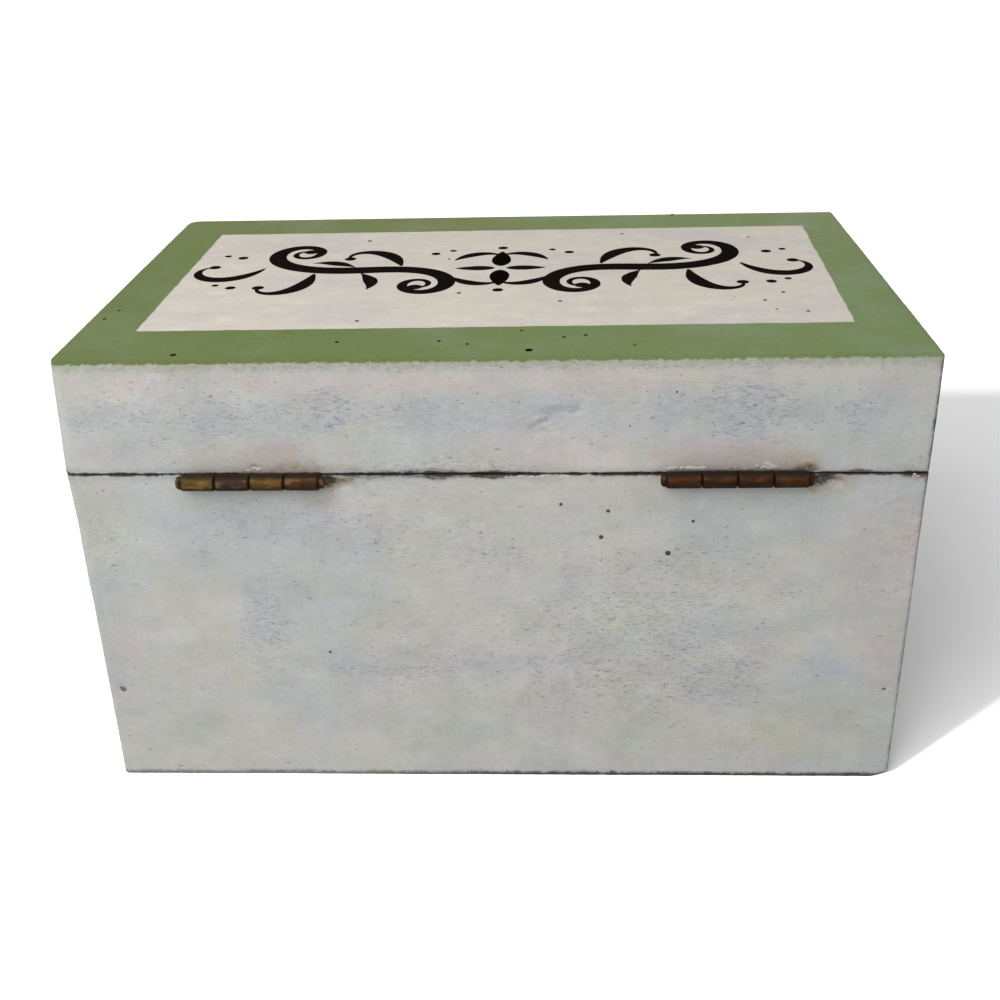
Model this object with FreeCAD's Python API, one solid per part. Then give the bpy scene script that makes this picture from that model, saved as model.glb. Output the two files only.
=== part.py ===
"""A hinged wooden recipe box, closed, in millimetres.

The origin is the middle of the underside and +Z is up. The front faces -Y and the hinges are on the
back, at +Y. Left and right are as seen from the front. Front and back boards run the full width and
lap the ends of the side boards. The bottom and the top board lie in rebates of the walls. Each hinge
has two leaves, both let into the rim of the base, and its barrel stands behind the back face.
"""

import FreeCAD, Part
import os

from FreeCAD import Vector

# Whole box, closed
BOX_WIDTH = 165.0
BOX_DEPTH = 105.6
BOX_HEIGHT = 95.2
LID_HEIGHT = 23.0
SEAM_GAP = 0.4

# Boards
WALL = 8.0
CORNER_LAP = 4.0
BOTTOM_THICK = 4.0
BOTTOM_LAP = 4.0
TOP_THICK = 5.0
TOP_LAP = 4.0
PANEL_FIT = 0.1

# Sanded outer edges: the lid's right-hand corners are worn rounder than the other upright corners
LID_RIGHT_CORNER_ROUND = 2.8
BASE_RIGHT_CORNER_ROUND = 1.5
LEFT_CORNER_ROUND = 1.3
TOP_EDGE_ROUND = 0.8

# Hinges
HINGE_INSET = 36.2
KNUCKLE_COUNT = 4
KNUCKLE_LENGTH = 6.6
KNUCKLE_GAP = 0.1
KNUCKLE_EASE = 0.15
BARREL_RADIUS = 1.6
BARREL_STANDOFF = 0.25
LEAF_THICK = 0.9
LEAF_GAP = 0.2
LEAF_REACH = 6.2
LEAF_CORNER_ROUND = 0.6
MORTISE_FIT = 0.2

# Hinge pins
PIN_RADIUS = 0.8
PIN_FIT = 0.05
PIN_HEAD_RADIUS = 1.3
PIN_HEAD_LENGTH = 0.95
PIN_HEAD_ROUND = 0.7

# Countersunk hinge screws, two in each leaf
SCREW_SPACING = 15.0
SCREW_INSET = 3.4
SCREW_LENGTH = 7.5
SCREW_RADIUS = 0.8
SCREW_HEAD_RADIUS = 1.65
SCREW_POINT_LENGTH = 1.6
SCREW_SLOT_WIDTH = 0.4
SCREW_SLOT_DEPTH = 0.35
SCREW_SINK = 0.05
SCREW_FIT = 0.05

# Brads that hold the corners and the bottom board
BRAD_RADIUS = 0.55
BRAD_LENGTH = 16.0
BRAD_HEAD_RADIUS = 0.85
BRAD_HEAD_THICK = 0.5
BRAD_POINT_LENGTH = 1.2
BRAD_SINK = 0.15
BRAD_FIT = 0.05
CORNER_BRAD_INSET = 3.2
BASE_BRAD_END_DISTANCE = 22.3
LID_BRAD_HEIGHT = 8.0
BOTTOM_BRAD_COUNT = 3
BOTTOM_BRAD_SPACING = 55.0
BOTTOM_BRAD_INSET = 6.0

# How far a cutting shape runs past the face that it opens, and how near two places count as one
CUT_PAST = 1.0
SAME_PLACE = 1e-6

HALF_WIDTH = BOX_WIDTH / 2
HALF_DEPTH = BOX_DEPTH / 2
LID_UNDERSIDE = BOX_HEIGHT - LID_HEIGHT
BASE_RIM = LID_UNDERSIDE - SEAM_GAP
LID_LEAF_FACE = LID_UNDERSIDE - LEAF_THICK
BASE_LEAF_FACE = LID_LEAF_FACE - LEAF_GAP
MORTISE_FLOOR = BASE_LEAF_FACE - LEAF_THICK
HINGE_OFFSET = HALF_WIDTH - HINGE_INSET
HINGE_AXIS_Y = HALF_DEPTH + BARREL_STANDOFF + BARREL_RADIUS
HINGE_AXIS_Z = LID_LEAF_FACE - LEAF_GAP / 2
BARREL_LENGTH = KNUCKLE_COUNT * KNUCKLE_LENGTH + (KNUCKLE_COUNT - 1) * KNUCKLE_GAP
BRAD_HOLE_RADIUS = BRAD_RADIUS + BRAD_FIT
BRAD_HEAD_HOLE_RADIUS = BRAD_HEAD_RADIUS + BRAD_FIT

UP = Vector(0, 0, 1)
DOWN = Vector(0, 0, -1)
ALONG_X = Vector(1, 0, 0)
SIDES = {"left": -1, "right": 1}


def block(low, high):
    """Return the box between two opposite corners."""
    size = Vector(*high) - Vector(*low)
    return Part.makeBox(size.x, size.y, size.z, Vector(*low))


def grown(low, high, margin):
    """Return two corners moved apart by a margin in X and Y."""
    return (low[0] - margin, low[1] - margin, low[2]), (high[0] + margin, high[1] + margin, high[2])


def upright_edges(shape, side):
    """Return the vertical corner edges on one side, -1 for left and 1 for right."""
    found = []
    for edge in shape.Edges:
        across = max(edge.BoundBox.XLength, edge.BoundBox.YLength)
        if across < SAME_PLACE and edge.CenterOfMass.x * side > 0:
            found.append(edge)
    return found


def top_edges(shape):
    """Return the edges that lie in the top face."""
    return [edge for edge in shape.Edges if edge.BoundBox.ZMin > shape.BoundBox.ZMax - SAME_PLACE]


def sanded_outline(bottom, top, right_round):
    """Return the full block between two heights with its upright corners rounded by sanding."""
    outline = block((-HALF_WIDTH, -HALF_DEPTH, bottom), (HALF_WIDTH, HALF_DEPTH, top))
    outline = outline.makeFillet(right_round, upright_edges(outline, SIDES["right"]))
    return outline.makeFillet(LEFT_CORNER_ROUND, upright_edges(outline, SIDES["left"]))


def base_outline():
    """Return the outer form of the base, with square rims."""
    return sanded_outline(0, BASE_RIM, BASE_RIGHT_CORNER_ROUND)


def lid_outline():
    """Return the outer form of the lid, its top edges eased."""
    outline = sanded_outline(LID_UNDERSIDE, BOX_HEIGHT, LID_RIGHT_CORNER_ROUND)
    return outline.makeFillet(TOP_EDGE_ROUND, top_edges(outline))


def side_board(side, bottom, top):
    """Return a plain side board, which stops short of the front and back faces by the lap."""
    outer = side * HALF_WIDTH
    inner = side * (HALF_WIDTH - WALL)
    reach = HALF_DEPTH - CORNER_LAP
    return block((min(outer, inner), -reach, bottom), (max(outer, inner), reach, top))


def long_board(face, bottom, top):
    """Return a plain front board (face -1) or back board (face 1), the full width of the box."""
    outer = face * HALF_DEPTH
    inner = face * (HALF_DEPTH - WALL)
    return block((-HALF_WIDTH, min(outer, inner), bottom), (HALF_WIDTH, max(outer, inner), top))


def panel_corners(lap, bottom, top):
    """Return two corners of a panel that runs into the walls by a lap."""
    inset = WALL - lap
    low = (-HALF_WIDTH + inset, -HALF_DEPTH + inset, bottom)
    high = (HALF_WIDTH - inset, HALF_DEPTH - inset, top)
    return low, high


def base_bottom():
    """Return the bottom board, flush with the underside."""
    low, high = panel_corners(BOTTOM_LAP, 0, BOTTOM_THICK)
    return block(*grown(low, high, -PANEL_FIT)).cut(bottom_brad_holes())


def bottom_rebate():
    """Return the space that the walls leave for the bottom board."""
    low, high = panel_corners(BOTTOM_LAP, -CUT_PAST, BOTTOM_THICK)
    return block(low, high)


def lid_top():
    """Return the top board, flush with the top of the lid."""
    low, high = panel_corners(TOP_LAP, BOX_HEIGHT - TOP_THICK, BOX_HEIGHT)
    return block(*grown(low, high, -PANEL_FIT)).common(lid_outline())


def top_rebate():
    """Return the space that the lid's walls leave for the top board."""
    low, high = panel_corners(TOP_LAP, BOX_HEIGHT - TOP_THICK, BOX_HEIGHT + CUT_PAST)
    return block(low, high)


def wall_ring(outline, rebate, bottom, top):
    """Return the front, back, left and right boards of one half of the box."""
    left = side_board(SIDES["left"], bottom, top)
    right = side_board(SIDES["right"], bottom, top)
    laps = Part.makeCompound([left, right])
    return {
        "front": long_board(-1, bottom, top).common(outline).cut(laps).cut(rebate),
        "back": long_board(1, bottom, top).common(outline).cut(laps).cut(rebate),
        "left": left.common(outline).cut(rebate),
        "right": right.common(outline).cut(rebate),
    }


def hinge_mortise(centre_x):
    """Return the space for both leaves of one hinge in the rim of the base's back board."""
    half = BARREL_LENGTH / 2 + MORTISE_FIT
    inner = HALF_DEPTH - LEAF_REACH - MORTISE_FIT
    low = (centre_x - half, inner, MORTISE_FLOOR)
    return block(low, (centre_x + half, HALF_DEPTH + CUT_PAST, BASE_RIM + CUT_PAST))


def knuckle_starts(first):
    """Return how far along the barrel every second knuckle starts, counted from the given one."""
    pitch = KNUCKLE_LENGTH + KNUCKLE_GAP
    return [-BARREL_LENGTH / 2 + number * pitch for number in range(first, KNUCKLE_COUNT, 2)]


def knuckle(start_x, leaf_low, leaf_high):
    """Return one solid knuckle, its ends eased, with the neck that joins it to its leaf."""
    roll = Part.makeCylinder(
        BARREL_RADIUS, KNUCKLE_LENGTH, Vector(start_x, HINGE_AXIS_Y, HINGE_AXIS_Z), ALONG_X
    )
    rims = [edge for edge in roll.Edges if edge.BoundBox.XLength < SAME_PLACE]
    roll = roll.makeChamfer(KNUCKLE_EASE, rims)
    neck_low = (start_x, HALF_DEPTH, leaf_low)
    neck = block(neck_low, (start_x + KNUCKLE_LENGTH, HINGE_AXIS_Y, leaf_high))
    return roll.fuse(neck)


def hinge_leaf(centre_x, leaf_low, leaf_high, first_knuckle):
    """Return a leaf with its knuckles, bored for the pin and not yet for its screws."""
    half = BARREL_LENGTH / 2
    low = (centre_x - half, HALF_DEPTH - LEAF_REACH, leaf_low)
    plate = block(low, (centre_x + half, HALF_DEPTH, leaf_high))
    uprights = upright_edges(plate, -1) + upright_edges(plate, 1)
    inner_corners = [edge for edge in uprights if edge.CenterOfMass.y < HALF_DEPTH - SAME_PLACE]
    plate = plate.makeFillet(LEAF_CORNER_ROUND, inner_corners)
    for start in knuckle_starts(first_knuckle):
        plate = plate.fuse(knuckle(centre_x + start, leaf_low, leaf_high))
    bore_start = Vector(centre_x - half - CUT_PAST, HINGE_AXIS_Y, HINGE_AXIS_Z)
    bore = Part.makeCylinder(
        PIN_RADIUS + PIN_FIT, BARREL_LENGTH + 2 * CUT_PAST, bore_start, ALONG_X
    )
    return plate.removeSplitter().cut(bore)


def pin_head(inner_x, outward):
    """Return a domed pin head whose flat side lies at inner_x."""
    centre = Vector(inner_x, HINGE_AXIS_Y, HINGE_AXIS_Z)
    head = Part.makeCylinder(PIN_HEAD_RADIUS, PIN_HEAD_LENGTH, centre, ALONG_X * outward)
    tip_x = inner_x + outward * PIN_HEAD_LENGTH
    rim = [edge for edge in head.Edges if abs(edge.BoundBox.Center.x - tip_x) < SAME_PLACE]
    return head.makeFillet(PIN_HEAD_ROUND, rim)


def hinge_pin(centre_x):
    """Return the pin of one hinge, with a head at each end of the barrel."""
    half = BARREL_LENGTH / 2 + PIN_FIT
    start = Vector(centre_x - half, HINGE_AXIS_Y, HINGE_AXIS_Z)
    shank = Part.makeCylinder(PIN_RADIUS, 2 * half, start, ALONG_X)
    pin = shank.fuse(pin_head(centre_x - half, -1))
    return pin.fuse(pin_head(centre_x + half, 1)).removeSplitter()


def screw_places(centre_x):
    """Return where the screws of one leaf stand, in X and Y."""
    y = HALF_DEPTH - SCREW_INSET
    return [(centre_x - SCREW_SPACING / 2, y), (centre_x + SCREW_SPACING / 2, y)]


def screw_form(head_face, pointing, fit):
    """Return a screw's outer form, its head's face at a point and its point along a direction."""
    head_height = SCREW_HEAD_RADIUS - SCREW_RADIUS
    head = Part.makeCone(
        SCREW_HEAD_RADIUS + fit, SCREW_RADIUS + fit, head_height, head_face, pointing
    )
    shank_length = SCREW_LENGTH - head_height - SCREW_POINT_LENGTH
    shank_start = head_face + pointing * head_height
    shank = Part.makeCylinder(SCREW_RADIUS + fit, shank_length, shank_start, pointing)
    tip = Part.makeCone(
        SCREW_RADIUS + fit, fit, SCREW_POINT_LENGTH, shank_start + pointing * shank_length, pointing
    )
    return head.fuse([shank, tip]).removeSplitter()


def slotted_screw(head_face, pointing):
    """Return one countersunk screw with a straight slot across its head."""
    outer = head_face - pointing * CUT_PAST
    inner = head_face + pointing * SCREW_SLOT_DEPTH
    reach = SCREW_HEAD_RADIUS + CUT_PAST
    slot = block(
        (head_face.x - reach, head_face.y - SCREW_SLOT_WIDTH / 2, min(outer.z, inner.z)),
        (head_face.x + reach, head_face.y + SCREW_SLOT_WIDTH / 2, max(outer.z, inner.z)),
    )
    return screw_form(head_face, pointing, 0).cut(slot)


def hinge_screws(centre_x, leaf_face, pointing):
    """Return the screws of one leaf, their heads sunk a little below its open face."""
    height = leaf_face + pointing.z * SCREW_SINK
    places = [Vector(x, y, height) for x, y in screw_places(centre_x)]
    return Part.makeCompound([slotted_screw(place, pointing) for place in places])


def screw_holes(centre_x, leaf_face, pointing):
    """Return the countersunk holes for one leaf's screws, through the leaf and into the wood."""
    holes = []
    for x, y in screw_places(centre_x):
        face = Vector(x, y, leaf_face)
        sunk = face + pointing * SCREW_SINK
        mouth = Part.makeCylinder(SCREW_HEAD_RADIUS + SCREW_FIT, SCREW_SINK, face, pointing)
        holes.append(mouth.fuse(screw_form(sunk, pointing, SCREW_FIT)))
    return Part.makeCompound(holes)


def brad(head_face, pointing):
    """Return one brad, its head's face at a point and its point along a direction."""
    head = Part.makeCylinder(BRAD_HEAD_RADIUS, BRAD_HEAD_THICK, head_face, pointing)
    shank_length = BRAD_LENGTH - BRAD_POINT_LENGTH
    shank = Part.makeCylinder(BRAD_RADIUS, shank_length, head_face, pointing)
    tip_start = head_face + pointing * shank_length
    tip = Part.makeCone(BRAD_RADIUS, 0, BRAD_POINT_LENGTH, tip_start, pointing)
    return head.fuse([shank, tip]).removeSplitter()


def brad_hole(head_face, pointing):
    """Return the hole for a brad, open above its sunk head."""
    mouth = head_face - pointing * (BRAD_SINK + CUT_PAST)
    head_depth = CUT_PAST + BRAD_SINK + BRAD_HEAD_THICK
    head = Part.makeCylinder(BRAD_HEAD_HOLE_RADIUS, head_depth, mouth, pointing)
    shank = Part.makeCylinder(BRAD_HOLE_RADIUS, BRAD_LENGTH + BRAD_FIT, head_face, pointing)
    return head.fuse(shank)


def corner_brad_seats(heights):
    """Return each corner brad's head face and direction, from the front and from the back."""
    seats = []
    for face in (-1, 1):
        for side in SIDES.values():
            for height in heights:
                x = side * (HALF_WIDTH - CORNER_BRAD_INSET)
                place = Vector(x, face * (HALF_DEPTH - BRAD_SINK), height)
                seats.append((place, Vector(0, -face, 0)))
    return seats


def base_brad_seats():
    """Return the seats of the brads in the base's corners."""
    return corner_brad_seats([BASE_BRAD_END_DISTANCE, BASE_RIM - BASE_BRAD_END_DISTANCE])


def lid_brad_seats():
    """Return the seats of the brads in the lid's corners."""
    return corner_brad_seats([LID_UNDERSIDE + LID_BRAD_HEIGHT])


def bottom_brad_seats():
    """Return the seats of the brads that hold the bottom board to the front and back boards."""
    seats = []
    for face in (-1, 1):
        for number in range(BOTTOM_BRAD_COUNT):
            x = (number - (BOTTOM_BRAD_COUNT - 1) / 2) * BOTTOM_BRAD_SPACING
            seats.append((Vector(x, face * (HALF_DEPTH - BOTTOM_BRAD_INSET), BRAD_SINK), UP))
    return seats


def brads(seats):
    """Return one brad in each seat."""
    return Part.makeCompound([brad(*seat) for seat in seats])


def brad_holes(seats):
    """Return the holes for the brads in these seats."""
    return Part.makeCompound([brad_hole(*seat) for seat in seats])


def bottom_brad_holes():
    """Return the holes for the bottom board's brads."""
    return brad_holes(bottom_brad_seats())


def base_pieces():
    """Return the boards and brads of the base by name."""
    walls = wall_ring(base_outline(), bottom_rebate(), 0, BASE_RIM)
    corner_holes = brad_holes(base_brad_seats())
    pieces = {f"base_{name}": wall.cut(corner_holes) for name, wall in walls.items()}
    for name in ("base_front", "base_back"):
        pieces[name] = pieces[name].cut(bottom_brad_holes())
    for side in SIDES.values():
        centre_x = side * HINGE_OFFSET
        holes = screw_holes(centre_x, BASE_LEAF_FACE, DOWN)
        pieces["base_back"] = pieces["base_back"].cut(hinge_mortise(centre_x)).cut(holes)
    pieces["base_bottom"] = base_bottom()
    pieces["base_corner_brads"] = brads(base_brad_seats())
    pieces["bottom_brads"] = brads(bottom_brad_seats())
    return pieces


def lid_pieces():
    """Return the boards and brads of the lid by name."""
    walls = wall_ring(lid_outline(), top_rebate(), LID_UNDERSIDE, BOX_HEIGHT)
    corner_holes = brad_holes(lid_brad_seats())
    pieces = {f"lid_{name}": wall.cut(corner_holes) for name, wall in walls.items()}
    for side in SIDES.values():
        holes = screw_holes(side * HINGE_OFFSET, LID_LEAF_FACE, UP)
        pieces["lid_back"] = pieces["lid_back"].cut(holes)
    pieces["lid_top"] = lid_top()
    pieces["lid_corner_brads"] = brads(lid_brad_seats())
    return pieces


def hinge_pieces(name, side):
    """Return the leaves, pin and screws of one hinge by name."""
    centre_x = side * HINGE_OFFSET
    lid_leaf = hinge_leaf(centre_x, LID_LEAF_FACE, LID_UNDERSIDE, 0)
    base_leaf = hinge_leaf(centre_x, MORTISE_FLOOR, BASE_LEAF_FACE, 1)
    return {
        f"{name}_hinge_lid_leaf": lid_leaf.cut(screw_holes(centre_x, LID_LEAF_FACE, UP)),
        f"{name}_hinge_base_leaf": base_leaf.cut(screw_holes(centre_x, BASE_LEAF_FACE, DOWN)),
        f"{name}_hinge_pin": hinge_pin(centre_x),
        f"{name}_hinge_lid_screws": hinge_screws(centre_x, LID_LEAF_FACE, UP),
        f"{name}_hinge_base_screws": hinge_screws(centre_x, BASE_LEAF_FACE, DOWN),
    }


def main():
    """Write every piece of the box to its own STEP file."""
    pieces = {**base_pieces(), **lid_pieces()}
    for name, side in SIDES.items():
        pieces.update(hinge_pieces(name, side))
    os.makedirs("parts", exist_ok=True)
    for name, shape in pieces.items():
        shape.exportStep(f"parts/{name}.step")
        print(f"{name}: {len(shape.Solids)} solids, {shape.Volume:.1f} cubic mm")


main()
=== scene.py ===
"""Looks of a painted wooden recipe box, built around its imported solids.

The box is seen from behind: its hinges are on +Y, its lid is shut and +Z is up. Every mesh is in metres
in the frame of the solids; sizes that a maker would read are written in millimetres and scaled by MM.
"""

import logging
import math
import random
from dataclasses import asdict, dataclass, fields
from enum import Enum
from functools import reduce
from typing import NamedTuple, Sequence

import bmesh
import bpy
import numpy as np
from mathutils import Matrix, Vector

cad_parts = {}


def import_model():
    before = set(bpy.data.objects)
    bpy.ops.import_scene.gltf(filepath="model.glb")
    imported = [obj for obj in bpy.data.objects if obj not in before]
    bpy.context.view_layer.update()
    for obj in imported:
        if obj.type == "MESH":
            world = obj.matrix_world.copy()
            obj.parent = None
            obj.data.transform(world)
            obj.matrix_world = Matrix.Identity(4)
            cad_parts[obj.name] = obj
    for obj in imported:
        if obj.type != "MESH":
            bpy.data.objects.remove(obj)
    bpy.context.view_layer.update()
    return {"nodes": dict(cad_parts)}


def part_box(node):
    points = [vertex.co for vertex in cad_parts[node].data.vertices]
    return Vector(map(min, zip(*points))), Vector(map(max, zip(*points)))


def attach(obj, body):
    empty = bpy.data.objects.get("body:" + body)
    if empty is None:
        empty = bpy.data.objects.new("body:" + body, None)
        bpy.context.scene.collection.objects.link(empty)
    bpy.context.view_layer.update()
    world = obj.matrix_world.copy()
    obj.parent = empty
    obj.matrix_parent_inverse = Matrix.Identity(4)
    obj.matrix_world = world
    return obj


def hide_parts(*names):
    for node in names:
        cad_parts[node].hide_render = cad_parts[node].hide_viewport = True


LOG = logging.getLogger("recipe_box")
MM = 0.001
Place = tuple[float, float]
Triple = tuple[float, float, float]
Colour = Triple
Number = "Wire | float"


class Grain(Enum):
    """The way a board's grain runs, as the share of each axis that the rings follow."""

    ALONG_X = (0.06, 1.0, 1.0)
    ALONG_Y = (1.0, 0.06, 1.0)


class Side(Enum):
    """A side of the box as seen from its front."""

    LEFT = "left"
    RIGHT = "right"


class Stain(Enum):
    """What a mark on the old paint is made of."""

    WASH = "rubbed blue-grey wash"
    MOSS = "greenish tint"
    BLUSH = "pinkish tint"
    STRAW = "yellowish tint"
    FLECKS = "dark dashes and specks"
    RUST = "rust"
    # Dark dirt together with painted shade: in the seam gap, a painted shadow above each hinge barrel, and
    # in the hollows beside the hinges
    SOOT = "dark dirt"


@dataclass(frozen=True)
class Wire:
    """A node's output. Arithmetic on it adds Math nodes to its tree."""

    graph: "Graph"
    socket: bpy.types.NodeSocket

    def __add__(self, other: Number) -> "Wire":
        """Return this plus another."""
        return self.graph.math("ADD", self, other)

    def __sub__(self, other: Number) -> "Wire":
        """Return this minus another."""
        return self.graph.math("SUBTRACT", self, other)

    def __rsub__(self, other: float) -> "Wire":
        """Return a number minus this."""
        return self.graph.math("SUBTRACT", other, self)

    def __mul__(self, other: Number) -> "Wire":
        """Return this times another."""
        return self.graph.math("MULTIPLY", self, other)

    def __truediv__(self, other: Number) -> "Wire":
        """Return this over another."""
        return self.graph.math("DIVIDE", self, other)

    def __abs__(self) -> "Wire":
        """Return this without its sign."""
        return self.graph.math("ABSOLUTE", self)


def triple(value: float | Sequence[float]) -> tuple[float, ...]:
    """Return three numbers, all alike if only one is given."""
    return (value,) * 3 if isinstance(value, (int, float)) else tuple(value)


def full(colour: object) -> object:
    """Return a plain colour with its alpha, and a wire as it is."""
    return (*colour, 1.0) if isinstance(colour, tuple) else colour


class Graph:
    """Adds nodes to a tree and wires them. Noise in it is read over its place, in millimetres."""

    place: Wire

    def __init__(self, tree: bpy.types.NodeTree) -> None:
        """Keep the tree that nodes go into."""
        self.tree = tree

    def node(self, kind: str, *values: object, settings: dict[str, object] | None = None,
             **inputs: object) -> bpy.types.Node:
        """Add a node, set its own properties and fill its inputs with wires or plain values.

        Args:
            kind: The node's type name.
            values: Its first inputs in order; None leaves one as it is.
            settings: Properties of the node, such as operation.
            inputs: Inputs by name, with underscores for the spaces.

        Returns:
            The new node.
        """
        made = self.tree.nodes.new(kind)
        for key, value in (settings or {}).items():
            setattr(made, key, value)
        named = [(made.inputs[label.replace("_", " ")], value) for label, value in inputs.items()]
        for socket, value in [*zip(made.inputs, values), *named]:
            if isinstance(value, Wire):
                self.tree.links.new(value.socket, socket)
            elif value is not None:
                socket.default_value = value
        return made

    def out(self, node: bpy.types.Node, key: int | str = 0) -> Wire:
        """Return one of a node's outputs as a wire."""
        return Wire(self, node.outputs[key])

    def call(self, kind: str, *values: object, pick: int | str = 0, **rest: object) -> Wire:
        """Add a node as node does and return one of its outputs."""
        return self.out(self.node(kind, *values, **rest), pick)

    def math(self, operation: str, *values: Number, clamp: bool = False) -> Wire:
        """Add a Math node, whose result can be held between 0 and 1."""
        return self.call("ShaderNodeMath", *values, settings={"operation": operation, "use_clamp": clamp})

    def vector(self, operation: str, *values: object, pick: str = "Vector", **rest: Number) -> Wire:
        """Add a Vector Math node and return its vector, or its number if Value is picked."""
        settings = {"operation": operation}
        return self.call("ShaderNodeVectorMath", *values, settings=settings, pick=pick, **rest)

    def scaled(self, vector: Wire, factor: Number) -> Wire:
        """Return a vector or a colour times a number."""
        return self.vector("SCALE", vector, Scale=factor)

    def split(self, vector: Wire) -> list[Wire]:
        """Return a vector's three parts."""
        made = self.node("ShaderNodeSeparateXYZ", vector)
        return [self.out(made, axis) for axis in range(3)]

    def join(self, x: Number, y: Number, z: Number) -> Wire:
        """Return a vector of three parts."""
        return self.call("ShaderNodeCombineXYZ", x, y, z)

    def least(self, *values: Number) -> Wire:
        """Return the smallest of some numbers."""
        return reduce(lambda held, value: self.math("MINIMUM", held, value), values)

    def most(self, *values: Number) -> Wire:
        """Return the largest of some numbers."""
        return reduce(lambda held, value: self.math("MAXIMUM", held, value), values)

    def noise(self, stretch: float | Sequence[float], detail: float = 2.0, rough: float = 0.5,
              shift: float = 0.0, colour: bool = False) -> Wire:
        """Add fractal noise over the place.

        Args:
            stretch: How many noise cells a millimetre holds, on all axes or on each.
            detail: How many octaves it has.
            rough: How strong each finer octave is.
            shift: Moves the pattern, so that two layers differ.
            colour: Whether three values are wanted, as a colour, and not one.

        Returns:
            A value about 0.5.
        """
        moved = self.vector("MULTIPLY_ADD", self.place, triple(stretch), (shift, shift * 0.7, shift * 1.3))
        return self.call("ShaderNodeTexNoise", pick="Color" if colour else 0, Vector=moved, Scale=1.0,
                         Detail=detail, Roughness=rough)

    def ease(self, value: Number, low: Number, high: Number) -> Wire:
        """Return a smooth step from 0 at low to 1 at high; low may be the larger."""
        settings = {"interpolation_type": "SMOOTHSTEP"}
        return self.call("ShaderNodeMapRange", value, low, high, 0.0, 1.0, settings=settings)

    def blend(self, base: Number, other: Number, share: Number) -> Wire:
        """Return a number mixed with another by a share."""
        return self.call("ShaderNodeMix", share, None, base, other, settings={"data_type": "FLOAT"})

    def layered(self, colour: object, *tints: tuple[object, Number]) -> Wire:
        """Return a colour with others laid over it in order, each by its share.

        Args:
            colour: What lies below, plain or a wire.
            tints: Each one's colour and share.

        Returns:
            The colour on top.
        """
        for other, share in tints:
            colours = (None,) * 5 + (full(colour), full(other))
            colour = self.call("ShaderNodeMix", share, *colours, settings={"data_type": "RGBA"}, pick=2)
        return colour


def linked(name: str, data: bpy.types.ID) -> bpy.types.Object:
    """Put a new object in the scene.

    Args:
        name: The object's name.
        data: The mesh, lamp or camera that it shows.

    Returns:
        The object.
    """
    made = bpy.data.objects.new(name, data)
    bpy.context.scene.collection.objects.link(made)
    return made


class GeometryTree(Graph):
    """A Geometry Nodes tree with named inputs, which ends in Realize Instances and Set Material."""

    def __init__(self, name: str, **inputs: str) -> None:
        """Make the tree's interface.

        Args:
            name: The tree's name.
            inputs: The names of its inputs for each kind of socket, such as Float.
        """
        super().__init__(bpy.data.node_groups.new(name, "GeometryNodeTree"))
        kinds = {label: kind for kind, labels in inputs.items() for label in labels.split()}
        self.keys = {}
        for label, kind in {"geometry": "Geometry", **kinds, "material": "Material"}.items():
            made = self.tree.interface.new_socket(label, in_out="INPUT", socket_type=f"NodeSocket{kind}")
            self.keys[label] = made.identifier
        self.tree.interface.new_socket("geometry", in_out="OUTPUT", socket_type="NodeSocketGeometry")
        source = self.node("NodeGroupInput")
        self.given = {label: self.out(source, label) for label in self.keys}
        self.spot = self.call("GeometryNodeInputPosition")
        self.place = self.scaled(self.spot, 1 / MM)

    def attribute(self, name: str) -> Wire:
        """Return a number that the mesh carries at each point."""
        return self.call("GeometryNodeInputNamedAttribute", name, settings={"data_type": "FLOAT"})

    def moved(self, geometry: Wire, offset: Wire) -> Wire:
        """Return geometry with each point moved by an offset."""
        return self.call("GeometryNodeSetPosition", geometry, Offset=offset)

    def shaken(self, geometry: Wire, noise: Wire, reach: Wire) -> Wire:
        """Return geometry with each point moved by a coloured noise about 0.5."""
        return self.moved(geometry, self.scaled(self.vector("SUBTRACT", noise, (0.5, 0.5, 0.5)), reach))

    def joined(self, *parts: Wire) -> Wire:
        """Return several geometries as one.

        Args:
            parts: The geometries, in order.

        Returns:
            The whole.
        """
        made = self.node("GeometryNodeJoinGeometry")
        for part in parts:
            self.tree.links.new(part.socket, made.inputs[0])
        return self.out(made)

    def close(self, geometry: Wire) -> None:
        """End the tree: realize instances and give the result its material.

        Args:
            geometry: What the tree has made.
        """
        real = self.call("GeometryNodeRealizeInstances", geometry)
        dressed = self.call("GeometryNodeSetMaterial", real, None, self.given["material"])
        self.node("NodeGroupOutput", dressed)

    def run(self, mesh: bpy.types.Mesh, **values: object) -> bpy.types.Mesh:
        """Apply the tree to a mesh.

        Args:
            mesh: What the tree starts from.
            values: Its inputs by name.

        Returns:
            The finished mesh.
        """
        carrier = linked("carrier", mesh)
        modifier = carrier.modifiers.new("tree", "NODES")
        modifier.node_group = self.tree
        for label, value in values.items():
            modifier[self.keys[label]] = value
        depsgraph = bpy.context.evaluated_depsgraph_get()
        depsgraph.update()
        made = bpy.data.meshes.new_from_object(carrier.evaluated_get(depsgraph), depsgraph=depsgraph)
        bpy.data.objects.remove(carrier)
        return made


class Coat(NamedTuple):
    """What one layer of finish gives a surface; its height is in millimetres."""

    colour: Wire
    roughness: Wire
    height: Wire
    metallic: float = 0.0


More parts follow.
